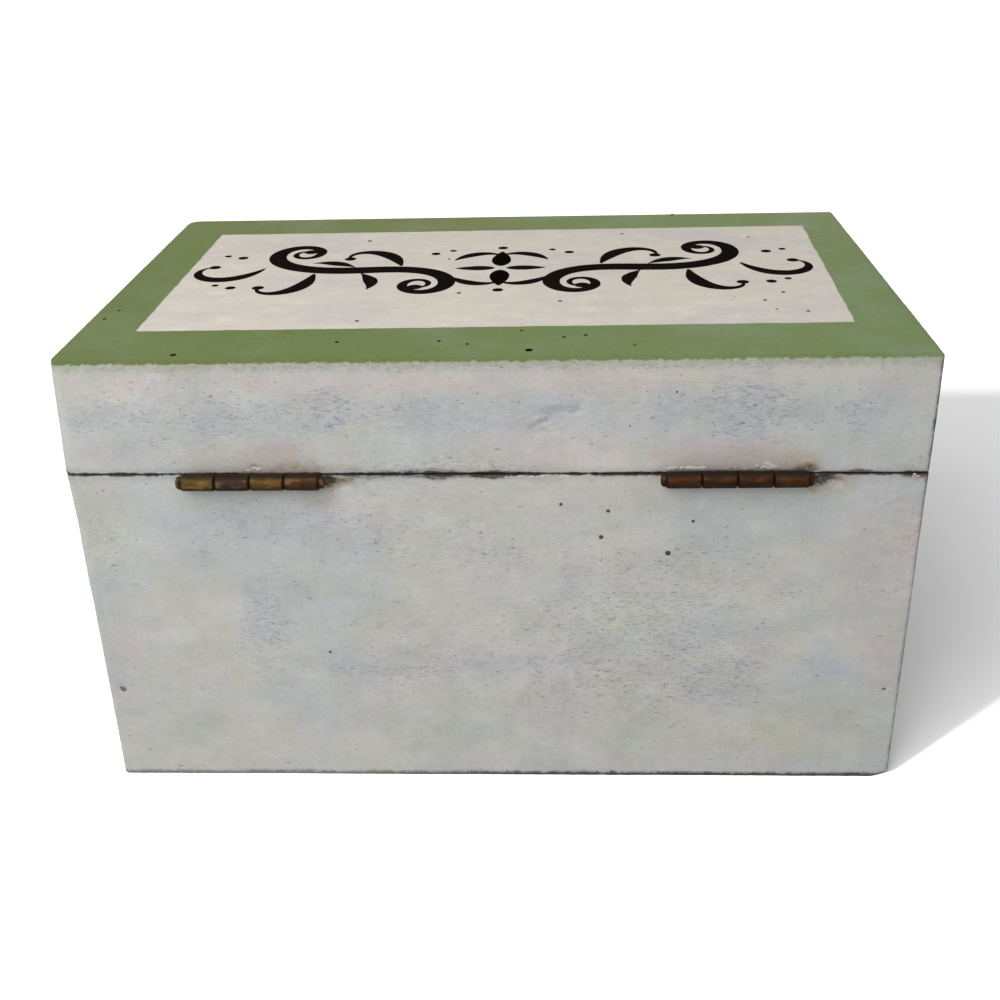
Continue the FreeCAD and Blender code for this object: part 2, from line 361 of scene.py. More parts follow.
class Shader(Graph):
    """A material's tree, which reads the piece's own place in millimetres."""

    def __init__(self, name: str) -> None:
        """Start the material with an empty tree.

        Args:
            name: The material's name.
        """
        self.material = bpy.data.materials.new(name)
        self.material.use_nodes = True
        super().__init__(self.material.node_tree)
        self.tree.nodes.clear()
        self.place = self.scaled(self.call("ShaderNodeTexCoord", pick="Object"), 1 / MM)

    def close(self, shine: float, **inputs: object) -> bpy.types.Material:
        """End the tree with its surface.

        Args:
            shine: How strongly the surface reflects.
            inputs: The surface's other inputs by name.

        Returns:
            The material.
        """
        surface = self.call("ShaderNodeBsdfPrincipled", Specular_IOR_Level=shine, **inputs)
        self.node("ShaderNodeOutputMaterial", surface)
        return self.material

    def over(self, under: Coat, upper: Coat, share: Number) -> Coat:
        """Return one coat laid over another where the share is 1."""
        rest = (self.blend(low, high, share) for low, high in zip(under[1:3], upper[1:3]))
        return Coat(self.layered(under.colour, (upper.colour, share)), *rest)

    def flakes(self, stretch: float | Sequence[float], size: Number, share: Number, shift: float,
               wobble: float = 0.35) -> Wire:
        """Scatter small marks, one at most in each cell of a random pattern.

        Args:
            stretch: How many cells a millimetre holds, on all axes or on each.
            size: The largest mark's radius, as a share of a cell.
            share: The share of the cells that hold a mark.
            shift: Moves the pattern, so that two layers differ.
            wobble: How ragged the marks are, in cells.

        Returns:
            1 on a mark and 0 off it.
        """
        bend = self.noise([item * 2.6 for item in triple(stretch)], 1.0, 0.5, shift, colour=True)
        cell = self.vector("MULTIPLY_ADD", self.place, triple(stretch), triple(shift))
        cell = self.vector("MULTIPLY_ADD", bend, triple(wobble), cell)
        made = self.node("ShaderNodeTexVoronoi", Vector=cell, Scale=1.0)
        draw, spread, strength = self.split(self.out(made, "Color"))
        reach = (spread * 0.65 + 0.35) * size
        body = self.ease(self.out(made, "Distance"), reach, reach * 0.45) * (strength * 0.6 + 0.4)
        return body * self.math("LESS_THAN", draw, share)


@dataclass(frozen=True)
class Form:
    """The outer sizes of the shut box, in millimetres, read from the solids.

    The seam was cut by hand and leans: lean_middle is how far its middle stands off its true height,
    and lean_slope how much it rises for each millimetre along X. Paint closes it by closing on each side.
    """

    half_width: float
    half_depth: float
    rim: float
    underside: float
    top: float
    lean_middle: float = -0.15
    lean_slope: float = 0.0042
    closing: float = 0.06

    @staticmethod
    def read() -> "Form":
        """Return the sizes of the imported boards."""
        (_, base_high), (lid_low, lid_high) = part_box("base_back"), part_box("lid_back")
        return Form(base_high.x / MM, base_high.y / MM, base_high.z / MM, lid_low.z / MM, lid_high.z / MM)

    @property
    def seam(self) -> float:
        """Return the height of the middle of the seam."""
        return (self.rim + self.underside) / 2

    def depths(self, x: Wire, y: Wire) -> tuple[Wire, Wire]:
        """Return how deep a place lies behind the nearer side and behind the nearer of back and front."""
        return self.half_width - abs(x), self.half_depth - abs(y)


# Soft ovals on the painted back: middle X and Z, half width and half height, and strength
BACK_MARKS: dict[Stain, tuple[tuple[float, ...], ...]] = {
    Stain.WASH: (
        (38.4, 60.6, 23, 6, 0.34), (1.1, 53.7, 6.5, 6.5, 0.4), (-47.4, 54.9, 6, 6.5, 0.4),
        (47.3, 39.6, 6, 12, 0.6), (14.4, 28.8, 30, 4.2, 0.5), (-47.4, 24.9, 9, 8.5, 0.5),
        (-10.5, 14.2, 6.5, 3.8, 0.34), (30, 84.7, 6.2, 4.8, 0.6), (52.8, 83.9, 5.2, 5.2, 0.48),
        (11, 84.6, 13.5, 4.2, 0.36), (-33.1, 85.5, 3.8, 4.8, 0.62), (-47.3, 84.7, 7, 7.2, 0.85),
        (-57.8, 85, 4.4, 4.2, 0.5), (-69.1, 84.3, 4.6, 5, 0.5), (76, 85.1, 5, 3.6, 0.34),
        (0, 84, 78, 6.5, 0.2), (-66, 22.5, 5, 6, 0.28),
    ),
    Stain.MOSS: (
        (68.3, 13.2, 12.5, 11, 0.6), (9.8, 13.4, 16, 10.5, 0.55), (-29.7, 10.4, 8.5, 7.5, 0.5),
        (-66.7, 13.3, 15, 9.5, 0.75), (64, 47, 5, 10, 0.45), (77, 66, 6.5, 9.5, 0.35),
        (0, 93.6, 84, 1.6, 0.55),
    ),
    Stain.STRAW: (
        (-66.7, 11.3, 15, 8, 0.55), (18.4, 40.3, 11, 6.5, 0.4), (-29, 39.5, 8.5, 4, 0.35),
        (-80.8, 34, 2.6, 9, 0.45), (-59, 33, 6.5, 8, 0.3),
    ),
    Stain.BLUSH: (
        (76.5, 33.1, 4.2, 9.5, 0.6), (-74.4, 50.5, 10.5, 17, 0.6), (-78.2, 28.8, 5, 7.5, 0.6),
        (-23.7, 68, 18.5, 3.8, 0.45), (-1.3, 91, 84, 3.6, 0.6), (69.5, 90.6, 12, 3.6, 0.35),
        (-11.2, 76.7, 20, 5, 0.45), (44, 76.2, 21, 4.2, 0.6), (-46, 76.2, 21, 4.2, 0.6),
        (-80.6, 56, 3.2, 14, 0.5),
    ),
    Stain.FLECKS: (
        (77.5, 56.1, 5.5, 8.5, 0.45), (47.3, 38, 6, 11.5, 0.95), (-34, 41, 24, 20, 0.8),
        (-31.6, 25.5, 26, 9, 0.75), (40, 62, 22, 6, 0.45), (10, 55, 16, 7, 0.5),
        (30.5, 84.6, 8, 4.6, 0.95), (62, 84, 18, 7, 0.5), (0, 93.7, 84, 1.3, 0.8),
        (9, 73.3, 18, 2.8, 0.95), (-80.6, 55, 3, 9, 0.6), (21, 26.8, 18, 1.7, 0.95),
        (0, 32, 36, 16, 0.36), (39.5, 84.3, 20, 3.8, 0.5), (-48.2, 84.5, 10.5, 7.8, 0.85),
        (-69, 84, 5.5, 4.5, 0.5), (0, 84, 80, 6, 0.22),
    ),
    Stain.RUST: (
        (43.5, 74.6, 17, 3.4, 0.33), (37, 73.2, 9.5, 1.8, 0.35), (-46.3, 74.2, 18, 3.4, 0.4),
        (-60, 74, 4.6, 3.6, 0.17), (-60.8, 72.8, 2.4, 1.4, 0.38), (-64, 69.8, 7, 2.8, 0.62),
        (30.6, 70.2, 5.2, 2.1, 0.7), (33.5, 67.2, 5.2, 2.6, 0.26), (-80.6, 71.1, 3.6, 1.3, 0.6),
    ),
    # Dark marks: dirt along the seam, together with painted shade in the seam gap, a painted shadow above
    # each hinge barrel, and painted shade in the hollows beside the hinges and below the gouge
    Stain.SOOT: (
        (0.4, 71.7, 6.5, 0.95, 0.95), (12, 71.9, 14, 1.2, 0.85), (-26, 71.7, 9, 0.6, 0.7),
        (46.3, 72.25, 15, 0.5, 0.4), (-46.3, 72.25, 15.5, 0.5, 0.45), (32.4, 70.5, 4, 1.3, 1.1),
        (-62, 70.4, 3.8, 1.3, 1.05), (-80.4, 71.3, 3.2, 0.8, 0.85), (-69, 71.8, 6, 0.6, 0.6),
        (-59.8, 72.4, 2.2, 0.95, 0.52), (-13.2, 85, 4.4, 0.9, 0.18), (-9.2, 81.2, 2.6, 0.9, 0.1),
    ),
}


class Finish:
    """What covers a piece. Each kind lays its own coat; shine is how strongly it reflects."""

    shine = 0.15

    def coat(self, graph: Shader) -> Coat:
        """Return the finish as a coat."""
        raise NotImplementedError

    def material(self, name: str) -> bpy.types.Material:
        """Make a material with the finish's coat on top.

        Args:
            name: The material's name.

        Returns:
            The material.
        """
        graph = Shader(name)
        coat = self.coat(graph)
        bump = graph.call("ShaderNodeBump", pick="Normal", Strength=1.0, Distance=MM, Height=coat.height)
        return graph.close(self.shine, Base_Color=coat.colour, Roughness=coat.roughness,
                           Metallic=coat.metallic, Normal=bump)


@dataclass(frozen=True)
class Pine(Finish):
    """Bare aged pine with fine growth rings along its grain."""

    grain: Grain
    pale: Colour = (0.560, 0.420, 0.265)
    dark: Colour = (0.340, 0.220, 0.120)

    def coat(self, graph: Shader) -> Coat:
        """Return the wood as a coat.

        Args:
            graph: The material's tree.

        Returns:
            The coat.
        """
        layers = ((0.05, 2.0, 0.5, 0.0), (1.1, 3.0, 0.55, 4.0), (4.0, 3.0, 0.7, 9.0))
        bend, rings, fibres = (
            graph.noise([share * scale for share in self.grain.value], *rest) for scale, *rest in layers
        )
        late = graph.ease(rings + (bend - 0.5) * 0.5, 0.45, 0.62)
        dark = graph.ease(fibres, 0.55, 0.8) * 0.3
        colour = graph.layered(self.pale, (self.dark, late * 0.42), (self.dark, dark))
        return Coat(colour, fibres * 0.2 + 0.55, late * 0.03 - fibres * 0.05)


@dataclass(frozen=True)
class OldPaint(Finish):
    """Off-white paint over a blue-grey wash, rubbed, specked and grimy along its edges, with painted shade
    along the seam, along the foot and on the edge turned away from the light.

    A marked board has the named marks on its back. Elsewhere the stains follow noise.
    """

    form: Form
    marked: bool
    warm: Colour = (0.552, 0.540, 0.507)
    cool: Colour = (0.502, 0.522, 0.510)
    wash: Colour = (0.385, 0.412, 0.468)
    moss: Colour = (0.449, 0.496, 0.420)
    blush: Colour = (0.598, 0.512, 0.490)
    straw: Colour = (0.560, 0.535, 0.430)
    tan: Colour = (0.430, 0.350, 0.270)
    rust: Colour = (0.190, 0.085, 0.035)
    # The next colour is dark dirt, and it also serves as painted shade where the back's dark marks lie
    soot: Colour = (0.040, 0.033, 0.028)
    fleck: Colour = (0.120, 0.138, 0.150)
    scuff: Colour = (0.200, 0.222, 0.255)
    bright: Colour = (0.680, 0.670, 0.640)
    # The next colour is dirt, together with painted shade in the seam gap and a painted contact shadow along
    # the foot
    grime: Colour = (0.030, 0.022, 0.019)
    # The next colour marks worn corners, together with painted shade on the rounded edge turned away from
    # the light
    bare_edge: Colour = (0.050, 0.034, 0.027)

    def stains(self, graph: Shader, wobble: Wire) -> dict[Stain, Wire]:
        """Return how much of each stain there is, from the marks on the back and noise elsewhere.

        Args:
            graph: The board's shader.
            wobble: Noise about 0, which bends the marks' outlines.

        Returns:
            The share of each stain.
        """
        y = graph.split(graph.place)[1]
        on_back = graph.ease(y, self.form.half_depth - 2.0, self.form.half_depth - 0.5)
        elsewhere = 1.0 - on_back * (0.75 if self.marked else 0.0)
        cloud = graph.noise((0.06, 0.06, 0.10), 4.0, 0.6, 11.0)
        other = graph.noise((0.05, 0.05, 0.08), 3.0, 0.6, 23.0)
        found = {
            Stain.WASH: graph.ease(cloud, 0.50, 0.66) * elsewhere * 0.65,
            Stain.FLECKS: graph.ease(other, 0.48, 0.66) * elsewhere * 0.75,
            Stain.MOSS: graph.ease(cloud, 0.47, 0.34) * elsewhere * 0.5,
            Stain.BLUSH: graph.ease(other, 0.46, 0.34) * elsewhere * 0.5,
        }
        for stain, rows in BACK_MARKS.items() if self.marked else ():
            for x, z, half_width, half_height, strength in rows:
                shrink = (1 / half_width, 0.0, 1 / half_height)
                shift = (-x * shrink[0], 0.0, -z * shrink[2])
                away = graph.vector("MULTIPLY_ADD", graph.place, shrink, shift)
                away = graph.vector("LENGTH", away, pick="Value")
                share = graph.ease(away + wobble, 1.25, 0.35) * on_back
                found[stain] = graph.math("MULTIPLY_ADD", share, strength, found.get(stain, 0.0))
        return found

    def edges(self, graph: Shader, ragged: Wire) -> tuple[Wire, Wire]:
        """Return where the corners are worn bare, with painted shade on the side turned away from the light,
        and where grime and painted shade lie along the seam and the foot.

        Args:
            graph: The board's shader.
            ragged: Noise about 0.5, which breaks the edges up.

        Returns:
            The share of worn edge with painted shade, and the share of grime with painted shade.
        """
        form = self.form
        x, y, z = graph.split(graph.place)
        depths = form.depths(x, y)
        break_up = (ragged - 0.5) * 2.4
        # Painted shade: the worn line is wider and darker on the -X side, whose rounded edge is turned away
        # from the light
        worn_and_shaded_side = graph.ease(x, 5.0, -5.0)
        width = worn_and_shaded_side * 0.30 + 0.05
        worn = graph.ease(graph.most(*depths) + break_up * 0.8, width + 0.50, width - 0.25)
        worn = worn * (worn_and_shaded_side * 0.6 + 0.3) * (graph.ease(z, 58.0, 80.0) * 0.5 + 0.5)
        off_seam = abs(z - (x * form.lean_slope + (form.seam + form.lean_middle)))
        on_skin = graph.ease(graph.least(*depths), 1.1, 0.25)
        # Painted shade: the seam's edges are darkened along with its grime, so that the gap reads as a black
        # line in shadow
        seam_grime_and_shade = graph.ease(off_seam + break_up * 0.6, 0.50, 0.15) * on_skin
        haze = graph.ease(off_seam + break_up, 2.2, 0.3) * 0.14
        # Painted contact shadow together with dirt along the foot, darker towards -X
        foot_grime_and_shadow = graph.ease(z + break_up * 0.8, 1.45, 0.45) * (graph.ease(x, 40.0, -20.0) * 0.3 + 0.6)
        return worn, graph.most(seam_grime_and_shade * 0.92, haze, foot_grime_and_shadow)

    def coat(self, graph: Shader) -> Coat:
        """Return the paint as a coat: its tones, then rubs, scuffs and specks, then dirt, worn edges and
        painted shade.

        Args:
            graph: The board's shader.

        Returns:
            The coat.
        """
        ease, least = graph.ease, graph.least
        broad = graph.noise((0.022, 0.022, 0.035), 3.0, 0.55, 2.0)
        mottle = graph.noise((0.09, 0.09, 0.13), 7.0, 0.80)
        fine = graph.noise((1.3, 1.3, 1.7), 3.0, 0.75, 5.0)
        ragged = graph.noise((0.5, 0.5, 0.42), 4.0, 0.7, 83.0)
        streak = graph.noise((1.5, 1.5, 0.09), 3.0, 0.6, 3.0)
        scratch = graph.noise((0.75, 0.75, 2.9), 5.0, 0.72, 97.0)
        wobble = graph.noise((0.20, 0.20, 0.28), 4.0, 0.65, 13.0)
        found = self.stains(graph, (wobble - 0.5) * 1.9)
        tints = ((Stain.MOSS, self.moss), (Stain.BLUSH, self.blush), (Stain.STRAW, self.straw))
        tints = [(tint, least(found[stain] * 0.7, 0.8)) for stain, tint in tints if stain in found]
        colour = graph.layered(self.cool, (self.warm, ease(broad, 0.40, 0.60)), *tints)
        level = (mottle - 0.5) * 0.66 + (fine - 0.5) * 0.20 + (streak - 0.5) * 0.08 + 1.0
        hue = graph.noise((0.075, 0.075, 0.11), 5.0, 0.65, 91.0, colour=True)
        hue = graph.vector("MULTIPLY_ADD", hue, (0.14, 0.12, 0.32), (0.93, 0.94, 0.84))
        colour = graph.vector("MULTIPLY", graph.scaled(colour, level), hue)
        rub = ease(graph.noise((0.55, 0.55, 1.0), 5.0, 0.78, 7.0), 0.44, 0.60)
        washed = least(found[Stain.WASH], 1.0) * (rub * 0.55 + 0.25)
        flecked = least(found[Stain.FLECKS], 1.0)
        scuffed = ease(scratch, 0.50, 0.64) * (flecked * 0.38 + washed * 0.20 + 0.05)
        dashes = graph.flakes((0.34, 0.34, 0.80), 0.42, flecked * 0.72 + 0.03, 31.0, 0.6)
        specks = graph.flakes((0.80, 0.80, 1.15), 0.40, flecked * 0.75 + 0.06, 47.0, 0.6)
        smudges = graph.flakes((0.24, 0.24, 0.50), 0.46, flecked * 0.80 + 0.14, 53.0, 0.7)
        colour = graph.layered(
            colour, (self.wash, washed), (self.scuff, scuffed), (self.wash, smudges * 0.38),
            (self.fleck, dashes * 0.56), (self.fleck, specks * 0.50),
            (self.bright, ease(scratch, 0.46, 0.34) * 0.22),
        )
        if self.marked:
            burnt = found[Stain.RUST] * (rub * 0.25 + 0.85)
            broken = ragged * 0.8 + ease(scratch, 0.40, 0.60) * 0.75 + 0.22
            # The dark marks lay dirt together with painted shade in the seam, above the barrels and in the
            # hollows
            colour = graph.layered(
                colour, (self.tan, least(burnt * 0.95, 0.8)), (self.rust, ease(burnt, 0.45, 1.25) * 0.9),
                (self.soot, least(found[Stain.SOOT] * broken, 0.95)),
            )
        worn, grime_and_shade_share = self.edges(graph, ragged)
        colour = graph.layered(colour, (self.bare_edge, worn), (self.grime, grime_and_shade_share))
        height = streak * 0.006 + fine * 0.03 + scratch * 0.04 - (specks + dashes) * 0.03 - worn * 0.05
        return Coat(colour, washed * 0.08 + 0.60, height)


@dataclass(frozen=True)
class TopPaint(Finish):
    """The lid's top: a sage green border, and inside it a pale panel. The border carries painted light:
    darker towards +X, lighter towards -X and towards the far side.
    """

    form: Form
    green: Colour = (0.150, 0.207, 0.067)
    olive: Colour = (0.128, 0.150, 0.050)
    grey_green: Colour = (0.180, 0.240, 0.110)
    pale: Colour = (0.645, 0.594, 0.518)
    pale_cool: Colour = (0.550, 0.528, 0.514)
    pale_bright: Colour = (0.728, 0.676, 0.590)
    # Painted light across the green border: darker towards +X, lighter towards -X, and lighter towards the
    # far side
    left_cast: Colour = (0.86, 0.87, 0.78)
    right_cast: Colour = (1.12, 1.12, 1.30)
    far_cast: Colour = (1.18, 1.08, 1.18)
    fleck: Colour = (0.045, 0.042, 0.038)
    panel_right: float = 70.6
    panel_left: float = -71.27
    panel_left_lean: float = 0.035
    panel_back: float = 35.03
    panel_front: float = -38.42
    panel_turn: float = 0.0065

    def border(self, graph: Shader, mottle: Wire, specked: bool = True) -> Coat:
        """Return the green border, with painted light laid across it.

        Args:
            graph: The board's shader.
            mottle: Noise about 0.5 that sets its larger patches.
            specked: Whether it is wide enough to show dark specks.

        Returns:
            Its coat.
        """
        x, y, _ = graph.split(graph.place)
        broad = graph.noise(0.05, 3.0, 0.55, 7.0)
        fine = graph.noise((1.2, 2.0, 1.2), 3.0, 0.7, 37.0)
        colour = graph.layered(
            self.green, (self.grey_green, graph.ease(broad, 0.44, 0.66) * 0.75),
            (self.olive, graph.ease(mottle, 0.48, 0.70) * 0.55),
        )
        colour = graph.scaled(colour, (mottle - 0.5) * 0.5 + (fine - 0.5) * 0.45 + 1.0)
        rubbed = graph.ease(graph.least(*self.form.depths(x, y)) + (mottle - 0.5) * 5.0, 1.6, 0.2)
        colour = graph.layered(colour, (self.olive, rubbed * 0.35))
        # Painted light: the border is darkened towards +X and lightened towards -X and the far side
        across = graph.layered(self.left_cast, (self.right_cast, graph.ease(x, 75.0, -75.0)))
        painted_light_far = graph.layered((1.0, 1.0, 1.0), (self.far_cast, graph.ease(y, 10.0, -50.0)))
        colour = graph.vector("MULTIPLY", graph.vector("MULTIPLY", colour, across), painted_light_far)
        if specked:
            colour = graph.layered(colour, (self.fleck, graph.flakes(0.75, 0.24, 0.07, 61.0) * 0.7))
        return Coat(colour, mottle * 0.2 + 0.58, fine * 0.05)

    def field(self, graph: Shader, mottle: Wire) -> Coat:
        """Return the pale panel.

        Args:
            graph: The board's shader.
            mottle: Noise about 0.5 that sets its larger patches.

        Returns:
            Its coat.
        """
        broad = graph.noise((0.035, 0.06, 0.05), 3.0, 0.6, 67.0)
        fine = graph.noise((0.9, 2.2, 1.2), 3.0, 0.7, 43.0)
        colour = graph.layered(
            self.pale, (self.pale_cool, graph.ease(broad, 0.42, 0.66) * 0.55),
            (self.pale_bright, graph.ease(mottle, 0.50, 0.72) * 0.5),
        )
        colour = graph.scaled(colour, (mottle - 0.5) * 0.30 + (fine - 0.5) * 0.22 + 1.0)
        specks = graph.flakes(0.55, 0.17, 0.24, 71.0)
        dust = graph.flakes((1.3, 1.6, 1.3), 0.35, 0.10, 73.0)
        colour = graph.layered(colour, (self.fleck, specks * 0.75), (self.pale_cool, dust * 0.6))
        return Coat(colour, mottle * 0.15 + 0.58, fine * 0.04 - specks * 0.03)

    def coat(self, graph: Shader) -> Coat:
        """Return the border with the panel inside its uneven edge.

        Args:
            graph: The board's shader.

        Returns:
            The coat.
        """
        mottle = graph.noise((0.14, 0.22, 0.2), 6.0, 0.75, 17.0)
        wave = (graph.noise(0.22, 4.0, 0.62, 29.0) - 0.5) * 0.9
        x, y, _ = graph.split(graph.place)
        turned = y - x * self.panel_turn
        inside = graph.least(self.panel_right - x, x - y * self.panel_left_lean - self.panel_left,
                             self.panel_back - turned, turned - self.panel_front)
        field = self.field(graph, mottle)
        return graph.over(self.border(graph, mottle), field, graph.ease(inside + wave, -0.10, 0.14))


@dataclass(frozen=True)
class PaintedPine(Finish):
    """A board's whole finish: bare inside, old paint outside and the top paint on the lid's top."""

    form: Form
    grain: Grain
    marked: bool = False
    panel: bool = False
    wrap: float = 1.2
    fringe: Colour = (0.330, 0.345, 0.235)

    def coat(self, graph: Shader) -> Coat:
        """Return all of the board's paint over its pine.

        Args:
            graph: The board's shader.

        Returns:
            The coat.
        """
        form = self.form
        top = TopPaint(form)
        pine = Pine(self.grain).coat(graph)
        x, y, z = graph.split(graph.place)
        if self.panel:
            return graph.over(pine, top.coat(graph), graph.ease(z, form.top - 2, form.top - 1))
        edge = graph.noise(0.55, 5.0, 0.75, 77.0)
        above = graph.ease(z - (form.top - 0.65) + (edge - 0.5) * 1.7, -0.22, 0.25)
        at_rim = graph.ease(abs(z - form.seam), 0.9, 0.4)
        reach = graph.blend(-self.wrap, edge * -6.0 + 0.6, at_rim)
        painted = graph.ease(graph.least(*form.depths(x, y)) + reach, 0.15, -0.15)
        sides = OldPaint(form, self.marked).coat(graph)
        stained = graph.ease(z + (edge - 0.5) * 5.0, form.top - 2.6, form.top - 0.6)
        sides = sides._replace(colour=graph.layered(sides.colour, (self.fringe, stained * 0.55)))
        return graph.over(graph.over(pine, sides, painted), top.border(graph, edge, False), above)


@dataclass(frozen=True)
class Metal(Finish):
    """A dull metal with patches of tarnish and of a warmer or paler tone."""

    bright: Colour
    tarnish: Colour
    warm: Colour
    roughness: float = 0.42
    metallic: float = 0.85

    def coat(self, graph: Shader) -> Coat:
        """Return the metal as a coat.

        Args:
            graph: The material's tree.

        Returns:
            The coat.
        """
        stain = graph.noise((0.30, 0.55, 0.7), 5.0, 0.68)
        patch = graph.noise((0.22, 0.4, 0.4), 3.0, 0.6, 19.0)
        grit = graph.noise(3.0, 3.0, 0.6, 5.0)
        colour = graph.layered(
            self.bright, (self.warm, graph.ease(patch, 0.46, 0.60)),
            (self.tarnish, graph.ease(stain, 0.42, 0.57) * 0.9),
            (self.tarnish, graph.ease(grit, 0.50, 0.70) * 0.6),
        )
        return Coat(colour, grit * 0.3 + self.roughness, grit * 0.05 + stain * 0.04, self.metallic)


@dataclass(frozen=True)
class BarrelBrass(Finish):
    """Old brass of a hinge, each knuckle in a tone of its own, with dirt in the joints and painted shade on
    the barrel's underside and along its top.

    Attributes:
        leaf: The solid that gives the barrel's place.
        tones: The knuckles' colours from low X.
        glint: The colour of rubbed spots, which also stand in for painted glints.
        dirt: The colour of the dirty joints and of the painted shade on the barrel's underside and top.
    """

    leaf: str
    tones: tuple[Colour, ...]
    glint: Colour
    dirt: Colour = (0.020, 0.013, 0.010)
    roughness: float = 0.45
    metallic: float = 0.6
    shine: float = 0.12

    def coat(self, graph: Shader) -> Coat:
        """Return the brass as a coat.

        Args:
            graph: The hinge's shader.

        Returns:
            The coat.
        """
        low, high = (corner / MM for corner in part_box(self.leaf))
        x, _, z = graph.split(graph.place)
        along = (x - low.x) / ((high.x - low.x) / len(self.tones))
        drift = graph.noise((0.35, 0.8, 0.8), 3.0, 0.55, 19.0)
        grit = graph.noise((2.2, 3.0, 3.0), 3.0, 0.6, 5.0)
        tones = [(tone, graph.ease(along, order - 0.03, order + 0.03))
                 for order, tone in enumerate(self.tones[1:], 1)]
        # Lighter rubbed spots, which also serve as painted glints
        rubbed = graph.ease(drift, 0.50, 0.68) * 0.55
        colour = graph.layered(self.tones[0], *tones, (self.glint, rubbed))
        colour = graph.scaled(colour, (drift - 0.5) * 1.6 + (grit - 0.5) * 0.9 + 1.0)
        joint = graph.ease(graph.math("PINGPONG", along, 0.5) + (drift - 0.5) * 0.15, 0.13, 0.02)
        # Painted shade: the barrel's underside and its top below the seam are darkened as if in shadow
        radius = (high.z - low.z) / 2
        drop = z - (low.z + high.z) / 2
        under = graph.ease(drop + (grit - 0.5) * 0.8, radius * -0.05, radius * -0.85) * 0.9
        above = graph.ease(drop, radius * 0.35, radius * 0.92) * 0.85
        colour = graph.layered(colour, (self.dirt, graph.most(joint * 0.9, under, above)))
        return Coat(colour, grit * 0.3 + self.roughness, grit * 0.04, self.metallic)


@dataclass(frozen=True)
class BrushPaint(Finish):
    """Thick brush paint of one colour, with faint streaks and worn spots."""

    colour: Colour
    worn: Colour
    roughness: float = 0.6
    shine: float = 0.05

    def coat(self, graph: Shader) -> Coat:
        """Return the paint as a coat.

        Args:
            graph: The material's tree.

        Returns:
            The coat.
        """
        streak = graph.noise((0.7, 1.4, 1.4), 4.0, 0.65)
        spots = graph.flakes(1.0, 0.30, 0.12, 9.0)
        streaked = graph.ease(streak, 0.46, 0.72) * 0.55
        colour = graph.layered(self.colour, (self.worn, streaked), (self.worn, spots * 0.7))
        return Coat(colour, streak * 0.25 + self.roughness, streak * 0.04)


# Finishes of the small pieces
BLACK_PAINT = BrushPaint((0.008, 0.006, 0.005), (0.020, 0.015, 0.013), shine=0.0)
GREY_PAINT = BrushPaint((0.072, 0.074, 0.074), (0.190, 0.192, 0.190), 0.7)
DRIED_PAINT = BrushPaint((0.585, 0.560, 0.520), (0.42, 0.39, 0.35))
DULL_STEEL = Metal((0.40, 0.39, 0.38), (0.14, 0.11, 0.09), (0.30, 0.24, 0.18))
DULL_BRASS = Metal((0.36, 0.25, 0.12), (0.10, 0.07, 0.04), (0.28, 0.18, 0.09))
RUSSET, DEEP_BROWN = (0.064, 0.025, 0.008), (0.048, 0.021, 0.008)
BARRELS = {
    Side.RIGHT: BarrelBrass(
        "right_hinge_lid_leaf",
        ((0.072, 0.035, 0.012), (0.112, 0.064, 0.015), (0.050, 0.031, 0.018), (0.112, 0.070, 0.017)),
        (0.220, 0.126, 0.056),
    ),
    Side.LEFT: BarrelBrass(
        "left_hinge_lid_leaf", (RUSSET, DEEP_BROWN, DEEP_BROWN, RUSSET), (0.100, 0.042, 0.016)
    ),
}


@dataclass(frozen=True)
class Block:
    """A box between two corners, in millimetres."""

    low: Triple
    high: Triple

    def holds(self, *place: np.ndarray) -> np.ndarray:
        """Say which of these points, given as their X, Y and Z, lie in the block."""
        spans = zip(place, self.low, self.high)
        return np.logical_and.reduce([(value > low) & (value < high) for value, low, high in spans])


